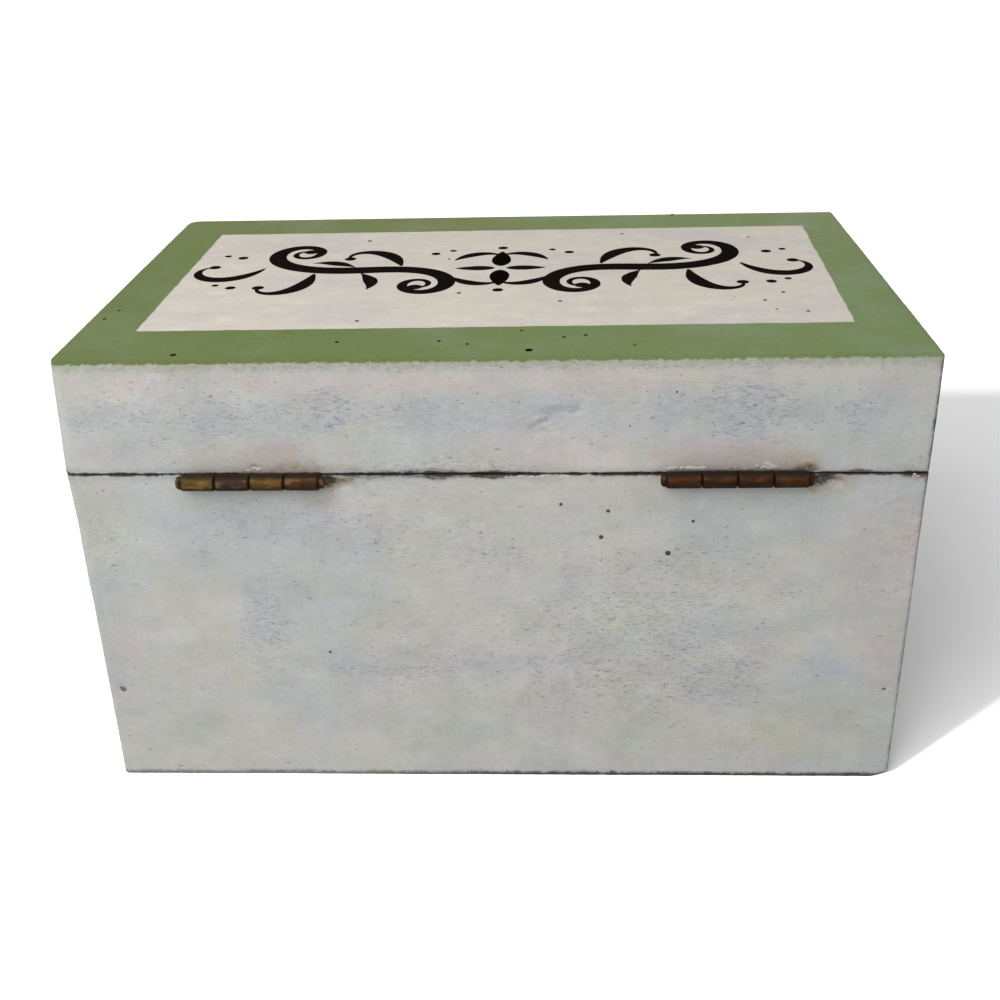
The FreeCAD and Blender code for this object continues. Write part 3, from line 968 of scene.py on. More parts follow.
@dataclass(frozen=True)
class Blank:
    """A board as joinery leaves it: square blocks less their cuts, meshed as one closed skin."""

    solids: Sequence[Block]
    cuts: Sequence[Block]
    pitch: Triple
    fine: Sequence[float] = (0.0, 0.2, 0.45, 0.8, 1.3, 2.0, 3.0)
    same: float = 1e-6

    def lines(self, axis: int) -> np.ndarray:
        """Return where the mesh is divided along an axis, closer together near the outer faces.

        Args:
            axis: 0 for X, 1 for Y and 2 for Z.

        Returns:
            The divisions in order.
        """
        low = min(block.low[axis] for block in self.solids)
        high = max(block.high[axis] for block in self.solids)
        marks = {corner[axis] for block in (*self.solids, *self.cuts) for corner in (block.low, block.high)}
        marks |= {mark for step in self.fine for mark in (low + step, high - step)}
        marks = sorted(mark for mark in marks if low <= mark <= high)
        kept = [marks[0]]
        for mark in marks[1:]:
            if mark - kept[-1] > self.same:
                count = max(1, math.ceil((mark - kept[-1]) / self.pitch[axis] - self.same))
                kept.extend(np.linspace(kept[-1], mark, count + 1)[1:])
        return np.array(kept)

    def mesh(self, name: str) -> bpy.types.Mesh:
        """Return the skin between the filled and the empty cells.

        Args:
            name: The mesh's name.

        Returns:
            The mesh, in metres.
        """
        lines = [self.lines(axis) for axis in range(3)]
        cells = np.meshgrid(*((line[1:] + line[:-1]) / 2 for line in lines), indexing="ij")
        filled = np.logical_or.reduce([block.holds(*cells) for block in self.solids])
        for block in self.cuts:
            filled &= ~block.holds(*cells)
        counts = [len(line) for line in lines]
        padded = np.pad(filled, 1)
        quads = []
        for axis in range(3):
            for way in (-1, 1):
                empty = np.roll(padded, -way, axis)[1:-1, 1:-1, 1:-1]
                quads.append(self.face_corners(np.argwhere(filled & ~empty), axis, way, counts))
        used, faces = np.unique(np.concatenate(quads), return_inverse=True)
        grid = np.unravel_index(used, counts)
        points = np.stack([line[along] for line, along in zip(lines, grid)], 1) * MM
        mesh = bpy.data.meshes.new(name)
        mesh.from_pydata(points.tolist(), [], faces.reshape(-1, 4).tolist())
        mesh.validate()
        return mesh

    @staticmethod
    def face_corners(cell: np.ndarray, axis: int, way: int, counts: Sequence[int]) -> np.ndarray:
        """Return the corner numbers of each cell's face on one side, turned outwards.

        Args:
            cell: The cells' numbers along each axis.
            axis: The axis that the faces look along.
            way: 1 or -1, the way that they look.
            counts: How many divisions each axis has.

        Returns:
            Four corner numbers for each face.
        """
        first, second = [(1, 2), (2, 0), (0, 1)][axis]
        corners = []
        for along, across in ((0, 0), (1, 0), (1, 1), (0, 1))[::way]:
            corner = cell.copy()
            corner[:, axis] += way > 0
            corner[:, first] += along
            corner[:, second] += across
            corners.append(np.ravel_multi_index(tuple(corner.T), counts))
        return np.stack(corners, 1)


# Dents in the painted back: start X and Z, end X and Z, width to each side and depth (a lip's is below 0)
BACK_DENTS = (
    (-7.6, 81.3, -11.6, 83.2, 0.65, 0.32), (-8.6, 82.9, -9.6, 83.4, 0.55, -0.20),
    (-11.6, 84.0, -16.6, 86.0, 1.5, 0.14), (-15.6, 84.2, -16.9, 84.9, 0.6, 0.18),
    (-8.6, 80.6, -10.4, 81.2, 1.6, 0.12), (32.0, 70.7, 28.6, 69.8, 1.2, 0.70),
    (-60.6, 70.5, -65.6, 69.6, 1.3, 0.75), (79.4, 22.3, 79.1, 21.9, 0.8, 0.35),
    (-79.2, 22.2, -79.3, 22.4, 1.3, 0.14), (79.3, 49.5, 79.2, 49.6, 1.3, 0.12),
    (45.9, 73.6, 45.1, 73.4, 0.7, 0.30),
)


@dataclass(frozen=True)
class Wear:
    """How rounded and uneven a half of the box is, in millimetres. Sanding has inputs of these names."""

    left_round: float = 1.0
    right_round_low: float = 1.3
    right_round_high: float = 1.3
    top_round: float = 0.18
    bottom_round: float = 0.18
    foot_round: float = 0.0
    raggedness: float = 0.24
    waviness: float = 0.35
    flare: float = 0.35
    flare_reach: float = 12.0


class Sanding(GeometryTree):
    """Rounds, dents and roughens a blank where it meets the outer faces of its half of the box."""

    def __init__(self, form: Form) -> None:
        """Build the tree once.

        Args:
            form: The box's outer sizes, which place the seam.
        """
        lengths = " ".join(item.name for item in fields(Wear))
        super().__init__("worn_board", Vector="outline_low outline_high", Float=f"{lengths} dents")
        given, noise, ease = self.given, self.noise, self.ease
        x, y, z = self.split(self.spot)
        half_width, half_depth, high = self.split(given["outline_high"])
        low = self.split(given["outline_low"])[2]
        side_x, side_y = self.math("SIGN", x), self.math("SIGN", y)
        swell = noise((0.02, 0.02, 0.09), 2.0, 0.5) * 0.7 + 0.65
        right = self.blend(given["right_round_low"], given["right_round_high"], (z - low) / (high - low))
        corner = self.blend(given["left_round"], right, ease(x, 0.0, MM)) * swell
        near_x = self.most(corner - (half_width - abs(x)), 0.0)
        near_y = self.most(corner - (half_depth - abs(y)), 0.0)
        reach = self.length(near_x, near_y)
        held = self.least(corner / reach, 1.0)
        depth = corner - reach * held
        normal_x, normal_y = near_x / reach * side_x, near_y / reach * side_y
        grit = noise(0.9, 4.0, 0.7, 13.0)
        rough = (grit - 0.5) * given["raggedness"]
        on_skin = ease(depth, 0.05 * MM, 0.0)
        off_seam = abs(z - form.seam * MM)
        foot = ease(x, 4 * MM - half_width, 0.6 * MM - half_width)
        foot = foot * ease(y, half_depth - 4 * MM, half_depth - 0.6 * MM) * given["foot_round"]
        push = 0.0
        lift = self.lean(form, x, z, off_seam)
        for label, way, gap in (("top_round", -1.0, high - z), ("bottom_round", 1.0, z - low)):
            size = given[label] * (grit * 1.2 + 0.4)
            size = size + foot if way > 0 else size
            side_near, end_near = (self.most(size - away, 0.0) for away in (depth, gap))
            kept = self.least(size / self.length(side_near, end_near), 1.0)
            push = side_near * (1.0 - kept) + push
            lift = end_near * (1.0 - kept) * way + lift
            lift = lift + rough * (ease(gap, 0.3 * MM, 0.0) * ease(depth, 1.5 * MM, 0.0))
        wave = noise((0.03, 0.03, 0.045), 3.0, 0.5, 19.0) - 0.5
        push = push - wave * given["waviness"] * on_skin
        on_back = ease(y, half_depth - 0.6 * MM, half_depth - 0.1 * MM) * given["dents"]
        push = push + self.dents() * on_back
        flared = ease(off_seam, given["flare_reach"], 0.0) * given["flare"]
        flared = flared * self.most(normal_x, 0.0) * on_skin
        shift_x, shift_y = near_x * (held - 1.0) * side_x, near_y * (held - 1.0) * side_y
        offset = self.join(shift_x - normal_x * push + flared, shift_y - normal_y * push, lift)
        self.close(self.moved(given["geometry"], offset))

    def length(self, along: Wire, across: Wire, least: float = 1e-14) -> Wire:
        """Return the length of two parts, kept off 0."""
        return self.math("SQRT", along * along + across * across + least)

    def lean(self, form: Form, x: Wire, z: Wire, off_seam: Wire, fade: float = 1.6) -> Wire:
        """Return how far the edges beside the seam move up to follow and close it.

        Args:
            form: The box's outer sizes and the seam's lean.
            x: Where each point is along X.
            z: Where it is along Z.
            off_seam: How far it is from the seam.
            fade: How far from the seam this ends, in millimetres.

        Returns:
            The move, in metres.
        """
        fading = self.math("SUBTRACT", 1.0, off_seam * (1 / (fade * MM)), clamp=True)
        closing = self.math("SIGN", z - form.seam * MM) * (-form.closing * MM)
        return (x * form.lean_slope + form.lean_middle * MM + closing) * fading

    def dents(self) -> Wire:
        """Measure how deep the back's dents are at each point.

        Returns:
            The depth, in metres.
        """
        flat = self.vector("MULTIPLY", self.place, (1.0, 0.0, 1.0))
        rough = (self.noise(0.8, 3.0, 0.6, 41.0) - 0.5) * 0.9
        total = 0.0
        for start_x, start_z, end_x, end_z, radius, depth in BACK_DENTS:
            start = Vector((start_x, 0.0, start_z))
            run = Vector((end_x, 0.0, end_z)) - start
            away = self.vector("SUBTRACT", flat, tuple(start))
            share = self.vector("DOT_PRODUCT", away, tuple(run / run.length_squared), pick="Value")
            nearest = self.scaled(self.join(*run), self.least(self.most(share, 0.0), 1.0))
            gap = self.vector("LENGTH", self.vector("SUBTRACT", away, nearest), pick="Value")
            total = self.ease(gap + rough * radius, radius, radius * 0.15) * (depth * MM) + total
        return total


def piece(name: str, mesh: bpy.types.Mesh, body: str, nodes: Sequence[str] = (),
          sharp: float = 35.0) -> None:
    """Put a finished mesh in the scene, in place of the solids that it stands for.

    Args:
        name: The piece's name.
        mesh: Its mesh, in place.
        body: The body that it rides on.
        nodes: The solids that it replaces.
        sharp: The angle in degrees past which an edge stays sharp.
    """
    mesh.name = name
    mesh.shade_smooth()
    mesh.set_sharp_from_angle(angle=math.radians(sharp))
    made = linked(name, mesh)
    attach(made, body)
    if nodes:
        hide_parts(*nodes)
    LOG.info("%s: %d faces on %s", name, len(mesh.polygons), body)


def merged(mesh: bpy.types.Mesh, parts: Sequence[bpy.types.Mesh], turned: bool) -> bpy.types.Mesh:
    """Fill a mesh with the faces of its parts.

    Args:
        mesh: The mesh to fill, which can be one of the parts.
        parts: Meshes of one material.
        turned: Whether all faces are turned outwards.

    Returns:
        The mesh.
    """
    shape = bmesh.new()
    for part in parts:
        shape.from_mesh(part)
    if turned:
        bmesh.ops.recalc_face_normals(shape, faces=shape.faces)
    shape.to_mesh(mesh)
    shape.free()
    return mesh


def dotted(points: Sequence[Sequence[float]], sizes: Sequence[float],
           edges: Sequence[tuple[int, int]] = ()) -> bpy.types.Mesh:
    """Return loose points, or lines between them, that carry a radius for a tree to read.

    Args:
        points: Places in metres.
        sizes: The radius at each point.
        edges: Pairs of points that a line joins.

    Returns:
        The mesh.
    """
    mesh = bpy.data.meshes.new("dots")
    mesh.from_pydata([tuple(point) for point in points], list(edges), [])
    mesh.attributes.new("radius", "FLOAT", "POINT").data.foreach_set("value", list(sizes))
    return mesh


@dataclass
class Half:
    """The boards of one half of the box, the base or the lid."""

    name: str
    form: Form
    sanding: Sanding
    low: float
    high: float
    wear: Wear
    mortises: Sequence[Block] = ()
    wall: float = 8.0
    lap: float = 4.0
    panel_thick: float = 4.0

    def layers(self, axis: int, way: int) -> list[Block]:
        """Return the outer and the inner layer of a wall, of which the inner one stops at the panel.

        Args:
            axis: 0 for a side wall and 1 for the back or the front.
            way: The side of the box on that axis, -1 or 1.

        Returns:
            The two layers.
        """
        half = (self.form.half_width, self.form.half_depth)
        reaches = ((half[1] - self.lap,) * 2, (half[0], half[0] - self.wall))[axis]
        inner = (self.low, self.high - self.panel_thick)
        if self.name == "base":
            inner = (self.low + self.panel_thick, self.high)
        plans = ((0.0, self.lap, (self.low, self.high)), (self.lap, self.wall, inner))
        blocks = []
        for reach, (outside, inside, heights) in zip(reaches, plans):
            spans = [(-reach, reach), (-reach, reach), heights]
            spans[axis] = sorted((way * (half[axis] - outside), way * (half[axis] - inside)))
            blocks.append(Block(*zip(*spans)))
        return blocks

    def board(self, place: str, blank: Blank, finish: PaintedPine) -> None:
        """Sand and paint a blank.

        Args:
            place: The board's place in its half.
            blank: The square board.
            finish: Its finish.
        """
        form, label = self.form, f"{self.name}_{place}"
        mesh = self.sanding.run(
            blank.mesh(label),
            outline_low=Vector((-form.half_width, -form.half_depth, self.low)) * MM,
            outline_high=Vector((form.half_width, form.half_depth, self.high)) * MM,
            dents=float(finish.marked),
            material=finish.material(f"{label}_paint"),
            **{name: value * MM for name, value in asdict(self.wear).items()},
        )
        piece(f"{label}_board", mesh, self.name, [label])

    def build(self) -> None:
        """Make the four walls, and the lid's top board."""
        for place, axis, way, pitch in (
            ("back", 1, 1, (0.5, 2.0, 0.5)), ("front", 1, -1, (1.2, 2.0, 1.5)),
            ("left", 0, -1, (2.0, 1.2, 1.5)), ("right", 0, 1, (2.0, 1.2, 1.5)),
        ):
            marked = place == "back"
            blank = Blank(self.layers(axis, way), self.mortises if marked else (), pitch)
            grain = Grain.ALONG_X if axis else Grain.ALONG_Y
            self.board(place, blank, PaintedPine(self.form, grain, marked))
        if self.name == "lid":
            x, y = self.form.half_width - self.lap, self.form.half_depth - self.lap
            top = Block((-x, -y, self.high - self.panel_thick), (x, y, self.high))
            finish = PaintedPine(self.form, Grain.ALONG_X, panel=True)
            self.board("top", Blank([top], (), (1.5, 1.5, 2.0)), finish)


class LeafTree(GeometryTree):
    """Cuts a hinge leaf from sheet and repeats its rolled knuckles along the barrel."""

    def __init__(self) -> None:
        """Build the tree once."""
        super().__init__(
            "hinge_leaf", Vector="plate_middle knuckle_start", Int="knuckle_count",
            Float="plate_length plate_depth leaf_thick corner_round hole_radius screw_spacing hole_shift "
                  "knuckle_step dents",
        )
        given, call = self.given, self.call
        outline = call("GeometryNodeCurvePrimitiveQuadrilateral", Width=given["plate_length"],
                       Height=given["plate_depth"])
        outline = call("GeometryNodeFilletCurve", settings={"mode": "POLY"}, Curve=outline, Count=4,
                       Radius=given["corner_round"], Limit_Radius=True)
        holes = []
        for side in (-0.5, 0.5):
            ring = call("GeometryNodeCurvePrimitiveCircle", Resolution=28, Radius=given["hole_radius"])
            shift = self.join(given["screw_spacing"] * side, given["hole_shift"], 0.0)
            holes.append(call("GeometryNodeTransform", ring, Translation=shift))
        flat = call("GeometryNodeFillCurve", self.joined(outline, *holes))
        raised = call("GeometryNodeExtrudeMesh", flat, Offset=(0.0, 0.0, 1.0),
                      Offset_Scale=given["leaf_thick"], Individual=False)
        both = self.joined(raised, call("GeometryNodeFlipFaces", flat))
        shut = call("GeometryNodeMergeByDistance", both, Distance=0.002 * MM)
        plate = call("GeometryNodeTransform", shut, Translation=given["plate_middle"])
        line = call("GeometryNodeMeshLine", Count=given["knuckle_count"],
                    Start_Location=given["knuckle_start"], Offset=self.join(given["knuckle_step"], 0.0, 0.0))
        rolls = call("GeometryNodeInstanceOnPoints", line, Instance=given["geometry"])
        rolls = call("GeometryNodeRealizeInstances", rolls)
        uneven = self.noise((0.30, 0.6, 0.6), 3.0, 0.6, 8.0, colour=True)
        self.close(self.joined(plate, self.shaken(rolls, uneven, given["dents"])))


@dataclass
class Hinge:
    """One butt hinge: two leaves cut from sheet, each with its rolled knuckles."""

    side: Side
    form: Form
    tree: LeafTree
    brass: bpy.types.Material
    leaf_thick: float = 0.9
    leaf_gap: float = 0.2
    knuckle_count: int = 4
    knuckle_gap: float = 0.1
    bore: float = 0.85
    end_round: float = 0.38
    corner_round: float = 0.6
    screw_spacing: float = 15.0
    screw_inset: float = 3.4
    hole_radius: float = 1.72
    dents: float = 0.22
    neck_length: float = 0.75
    edge_at: float = 0.1
    turn_end: float = -178.0
    turn_steps: int = 44
    round_steps: int = 5

    def knuckle(self, radius: float, length: float, way: int) -> bpy.types.Mesh:
        """Roll one knuckle about X with its neck, its axis at the origin and its low end at X 0.

        Args:
            radius: The barrel's radius.
            length: The knuckle's length.
            way: 1 where the leaf lies above the axis and -1 where it lies below.

        Returns:
            The knuckle's mesh, a closed strip in the shape of a 6.
        """
        lower = self.leaf_gap / 2
        upper = lower + self.leaf_thick
        outer, inner = (
            [(math.cos(a), way * math.sin(a))
             for a in np.linspace(math.pi - math.asin(start), math.radians(self.turn_end), self.turn_steps)]
            for start in (upper / radius, lower / self.bore)
        )
        neck = -radius - self.neck_length
        eased = [(self.end_round * (1 - math.cos(a)), self.end_round * (1 - math.sin(a)))
                 for a in np.linspace(0.0, math.pi / 2, self.round_steps)]
        stations = [*eased, *((length * share, 0.0) for share in (0.25, 0.5, 0.75)),
                    *((length - along, inset) for along, inset in reversed(eased))]
        points = []
        for along, inset in stations:
            points.append((along, neck, way * upper))
            points += [(along, (radius - inset) * y, (radius - inset) * z) for y, z in outer]
            points += [(along, self.bore * y, self.bore * z) for y, z in reversed(inner)]
            points.append((along, neck, way * lower))
        count = len(points) // len(stations)
        faces = []
        for row in range(0, len(points) - count, count):
            for step in range(count):
                after = (step + 1) % count
                faces.append((row + step, row + after, row + count + after, row + count + step))
        for row in (0, len(points) - count):
            for step in range(count // 2 - 1):
                ends = (step, step + 1, count - 2 - step, count - 1 - step)
                faces.append(tuple(row + end for end in ends))
        mesh = bpy.data.meshes.new("knuckle")
        mesh.from_pydata([Vector(point) * MM for point in points], [], faces)
        return merged(mesh, [mesh], True)

    def leaf(self, part: str, body: str, way: int) -> None:
        """Make one leaf in place of its solid.

        Args:
            part: The solid's name after the hinge's.
            body: The body that it rides on.
            way: 1 where the leaf lies above the axis and -1 where it lies below.
        """
        node = f"{self.side.value}_hinge_{part}"
        low, high = (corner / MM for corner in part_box(node))
        radius = (high.z - low.z) / 2
        axis_y, axis_z = high.y - radius, (high.z + low.z) / 2
        length = high.x - low.x
        knuckle = (length - (self.knuckle_count - 1) * self.knuckle_gap) / self.knuckle_count
        step = knuckle + self.knuckle_gap
        start_x = low.x if way > 0 else low.x + step
        back_edge = axis_y - radius - self.edge_at
        plate_low = axis_z + (self.leaf_gap / 2 if way > 0 else -self.leaf_gap / 2 - self.leaf_thick)
        middle = Vector(((low.x + high.x) / 2, (low.y + back_edge) / 2, plate_low))
        own = ("leaf_thick", "corner_round", "hole_radius", "screw_spacing", "dents")
        lengths = {
            "plate_length": length, "plate_depth": back_edge - low.y, "knuckle_step": 2 * step,
            "hole_shift": self.form.half_depth - self.screw_inset - middle.y,
            **{name: getattr(self, name) for name in own},
        }
        mesh = self.tree.run(
            self.knuckle(radius, knuckle, way),
            plate_middle=middle * MM,
            knuckle_start=Vector((start_x, axis_y, axis_z)) * MM,
            knuckle_count=self.knuckle_count // 2,
            material=self.brass,
            **{name: value * MM for name, value in lengths.items()},
        )
        piece(f"{node}_rolled", mesh, body, [node], 40.0)

    def build(self) -> None:
        """Make both leaves."""
        self.leaf("lid_leaf", "lid", 1)
        self.leaf("base_leaf", "base", -1)


@dataclass(frozen=True)
class Stroke:
    """One brush stroke on the lid's top, in millimetres from the scroll's middle.

    Its bends are the turn in degrees for each millimetre, evenly spaced along it, and it stands so that
    the share `at` of its length is at `middle`, running in the direction `heading`.
    """

    middle: Place
    heading: float
    length: float
    bends: tuple[float, ...]
    thick: float
    at: float = 0.0
    thin: float = 0.3
    belly: float = 0.42
    power: float = 1.4
    ball: float = 0.0

    def line(self, pitch: float = 0.45) -> tuple[np.ndarray, np.ndarray]:
        """Return the stroke's points and its width at each.

        Args:
            pitch: How far apart the points are.

        Returns:
            The points, as rows of X and Y, and the widths.
        """
        count = max(8, math.ceil(self.length / pitch))
        share = np.linspace(0.0, 1.0, count)
        bend = np.interp(share, np.linspace(0.0, 1.0, len(self.bends)), self.bends)
        step = self.length / (count - 1)
        turned = np.concatenate([[0.0], np.cumsum((bend[1:] + bend[:-1]) / 2 * step)])
        heading = np.radians(turned - np.interp(self.at, share, turned) + self.heading)
        between = (heading[1:] + heading[:-1]) / 2
        run = np.stack([np.cos(between), np.sin(between)], 1) * step
        points = np.concatenate([[[0.0, 0.0]], np.cumsum(run, 0)])
        anchor = [np.interp(self.at, share, points[:, axis]) for axis in (0, 1)]
        points = points + np.array(self.middle) - np.array(anchor)
        swell = np.sin(math.pi * share ** (math.log(0.5) / math.log(self.belly))) ** self.power
        return points, self.thin + (self.thick - self.thin) * swell


class StrokeTree(GeometryTree):
    """Sweeps a flat brush stroke along its line, as wide as the line's points say."""

    def __init__(self) -> None:
        """Build the tree once."""
        super().__init__("brush_stroke", Float="thickness height")
        line = self.call("GeometryNodeMeshToCurve", self.given["geometry"])
        line = self.call("GeometryNodeSetCurveNormal", line, settings={"mode": "Z_UP"})
        ring = self.call("GeometryNodeCurvePrimitiveCircle", Resolution=10, Radius=1.0)
        swept = self.call("GeometryNodeCurveToMesh", line, ring, Scale=self.attribute("radius"),
                          Fill_Caps=True)
        z = self.split(self.spot)[2]
        flat = self.join(0.0, 0.0, z * (self.given["thickness"] - 1.0) + self.given["height"])
        self.close(self.moved(swept, flat))


class DropTree(GeometryTree):
    """Lays a round drop or a rough crumb on each point, as large as the point says."""

    def __init__(self) -> None:
        """Build the tree once."""
        super().__init__("drops", Vector="flattening", Float="lumpiness")
        ball = self.call("GeometryNodeMeshIcoSphere", Radius=1.0, Subdivisions=3)
        size = self.scaled(self.given["flattening"], self.attribute("radius"))
        laid = self.call("GeometryNodeInstanceOnPoints", self.given["geometry"], Instance=ball, Scale=size)
        lumps = self.noise(1.9, 3.0, 0.7, 21.0, colour=True)
        real = self.call("GeometryNodeRealizeInstances", laid)
        self.close(self.shaken(real, lumps, self.given["lumpiness"]))


@dataclass
class Scroll:
    """A plain vine scroll in black brush paint on the lid's panel, the same to the left and the right."""

    form: Form
    paint: bpy.types.Material
    drops: DropTree
    middle: Place = (0.0, -5.7)
    stretch: float = 1.2
    thickness: float = 0.035
    strokes: tuple[Stroke, ...] = (
        Stroke((33.0, 0.5), 2, 108, (30, 14.5, 9.5, 3.2, -1, -3.2, -9.5, -14.5, -30), 5.0, 0.5, 0.9, 0.5,
               1.1, 1.7),
        Stroke((22.5, -2.2), -72, 21, (0.5, 5, 10, 24), 3.8, thin=0.6, ball=1.35),
        Stroke((41.5, 2.4), 88, 21, (-0.5, -5, -10, -24), 3.8, thin=0.6, ball=1.35),
        Stroke((33.0, -1.6), -40, 11, (3, 5, 6), 3.2, belly=0.5, power=1.3),
        Stroke((31.0, 2.4), 130, 11, (-2, -6, -9), 3.2, belly=0.5, power=1.3),
        Stroke((10.6, -5.4), -125, 13, (-3, -8, -14), 3.0, thin=0.5, belly=0.45),
        Stroke((10.6, 5.4), 125, 13, (3, 8, 14), 3.0, thin=0.5, belly=0.45),
        Stroke((53.5, -1.5), 64, 25, (-2, -7, -10, -22), 3.6, thin=0.6, ball=1.35),
        Stroke((0.0, 1.2), 90, 10.0, (0, 0), 4.4, thin=0.1, belly=0.40, power=0.8),
        Stroke((0.0, -1.2), -90, 10.0, (0, 0), 4.4, thin=0.1, belly=0.40, power=0.8),
        Stroke((1.2, 0.0), 0, 9.0, (0, 0), 3.4, thin=0.1, belly=0.40, power=0.8),
    )
    dots: tuple[Triple, ...] = (
        (0.0, 13.8, 1.2), (0.0, -13.8, 1.2), (60.5, -9.0, 1.2), (64.4, -10.4, 0.85),
        (58.2, 10.6, 1.15), (62.0, 9.0, 0.8), (15.5, -10.2, 1.1), (11.6, -12.2, 0.8),
    )

    def build(self) -> None:
        """Paint the strokes, their round ends and the dots."""
        tree, height = StrokeTree(), self.form.top * MM
        parts, spots = [], []
        for mirror in (1, -1):
            for stroke in self.strokes:
                points, widths = stroke.line()
                placed = (points * (mirror, self.stretch) + self.middle) * MM
                rows = np.column_stack([placed, np.zeros(len(placed))])
                line = dotted(rows, widths / 2 * MM, [(step, step + 1) for step in range(len(rows) - 1)])
                parts.append(tree.run(line, thickness=self.thickness, height=height, material=self.paint))
                ends = (rows[-1], rows[0]) if stroke.at else (rows[-1],)
                spots += [(*end[:2], stroke.ball) for end in ends if stroke.ball]
            spots += [((mirror * x + self.middle[0]) * MM, (y * self.stretch + self.middle[1]) * MM, r)
                      for x, y, r in self.dots if x or mirror > 0]
        blobs = dotted([(x, y, height) for x, y, _ in spots], [radius * MM for _, _, radius in spots])
        flat = (1.0, 1.0, self.thickness * 1.6)
        parts.append(self.drops.run(blobs, flattening=flat, lumpiness=0.0, material=self.paint))
        mesh = merged(bpy.data.meshes.new("scroll"), parts, False)
        mesh.materials.append(self.paint)
        piece("lid_top_scroll", mesh, "lid", sharp=60.0)


@dataclass
class Splashes:
    """Small dark drops on the back and the lid's top, and pale crumbs of paint along the seam.

    Drops are rows of two coordinates on their face and a radius. Clusters of crumbs are rows of a middle
    in X and Z, a reach in each, a count and the largest radius.
    """

    form: Form
    drops: DropTree
    black: bpy.types.Material
    on_back: tuple[Triple, ...] = (
        (-13.1, 65.3, 0.42), (-22.2, 63.8, 0.40), (-20.9, 58.1, 0.46), (-34.0, 54.5, 0.56),
        (-38.6, 61.5, 0.34), (34.5, 31.5, 0.30), (-26.0, 81.6, 0.26), (-34.5, 88.3, 0.26),
    )
    on_top: tuple[Triple, ...] = (
        (8.1, 12.7, 0.50), (27.3, 30.5, 0.42), (32.6, -30.2, 0.55), (12.1, -13.4, 0.40),
        (-28.4, -33.4, 0.45), (-58.1, -28.9, 0.40), (-42.1, -51.6, 0.60), (-13.2, 19.1, 0.45),
        (-54.9, 20.1, 0.40), (-59.4, 14.8, 0.45), (-62.3, 27.5, 0.42), (-56.4, 26.0, 0.32),
        (59.3, 49.3, 0.60), (79.4, 27.4, 0.42), (29.4, 43.0, 0.45), (9.9, 43.0, 0.40),
        (4.4, 44.9, 0.36), (-5.7, 37.4, 0.36), (-7.3, 48.6, 0.75), (-13.8, 41.5, 0.40),
        (-18.0, 40.5, 0.42), (-27.0, 46.4, 0.34), (78.0, 22.0, 0.34),
    )
    clusters: tuple[tuple[float, float, float, float, int, float], ...] = (
        (-38.2, 72.75, 2.6, 0.36, 24, 0.46), (-52.8, 73.0, 2.2, 0.55, 20, 0.48),
        (-45.5, 72.7, 2.5, 0.20, 5, 0.22), (45.6, 73.3, 1.1, 0.5, 7, 0.36),
        (-8.9, 83.3, 1.3, 0.25, 4, 0.28), (-13.9, 71.1, 0.8, 0.35, 7, 0.44),
        (-6.0, 71.2, 3.8, 0.16, 14, 0.32), (-24.0, 71.05, 9.0, 0.25, 16, 0.26),
        (-80.0, 71.0, 1.5, 0.25, 4, 0.26),
    )
    seed: int = 11

    def scattered(self) -> list[Triple]:
        """Scatter the crumbs of all clusters.

        Returns:
            Each one's place in X and Z and its radius.
        """
        draw = random.Random(self.seed)
        found = []
        for x, z, reach_x, reach_z, count, largest in self.clusters:
            for _ in range(count):
                place = draw.gauss(x, reach_x / 2), draw.gauss(z, reach_z / 2)
                found.append((*place, largest * draw.uniform(0.35, 1.0)))
        return found

    def lay(self, name: str, rows: Sequence[Triple], shape: Triple, lumpy: float,
            material: bpy.types.Material) -> None:
        """Lay drops or crumbs on the top or on the back.

        Args:
            name: The piece's name. It starts with its body's and says top where they lie on the top.
            rows: Each one's two coordinates on its face and its radius.
            shape: The stretch of each along X, Y and Z.
            lumpy: How rough they are, in millimetres.
            material: Their finish.
        """
        form, on_top = self.form, "top" in name
        places = [(a, b, form.top) if on_top else (a, form.half_depth, b) for a, b, _ in rows]
        dots = dotted([Vector(place) * MM for place in places], [row[2] * MM for row in rows])
        mesh = self.drops.run(dots, flattening=shape, lumpiness=lumpy * MM, material=material)
        piece(name, mesh, name.split("_")[0], sharp=60.0)

    def build(self) -> None:
        """Lay them all."""
        grey, pale = GREY_PAINT.material("grey_paint"), DRIED_PAINT.material("dried_paint")
        drops, crumbs = [
            {"base": [row for row in rows if row[1] <= self.form.seam],
             "lid": [row for row in rows if row[1] > self.form.seam]}
            for rows in (self.on_back, self.scattered())
        ]
        for body, rows in drops.items():
            self.lay(f"{body}_back_drops", rows, (1.0, 0.25, 1.0), 0.12, grey)
        self.lay("lid_top_drops", self.on_top, (1.0, 1.0, 0.16), 0.14, self.black)
        for body, rows in crumbs.items():
            self.lay(f"{body}_paint_crumbs", rows, (1.6, 0.35, 0.8), 0.40, pale)


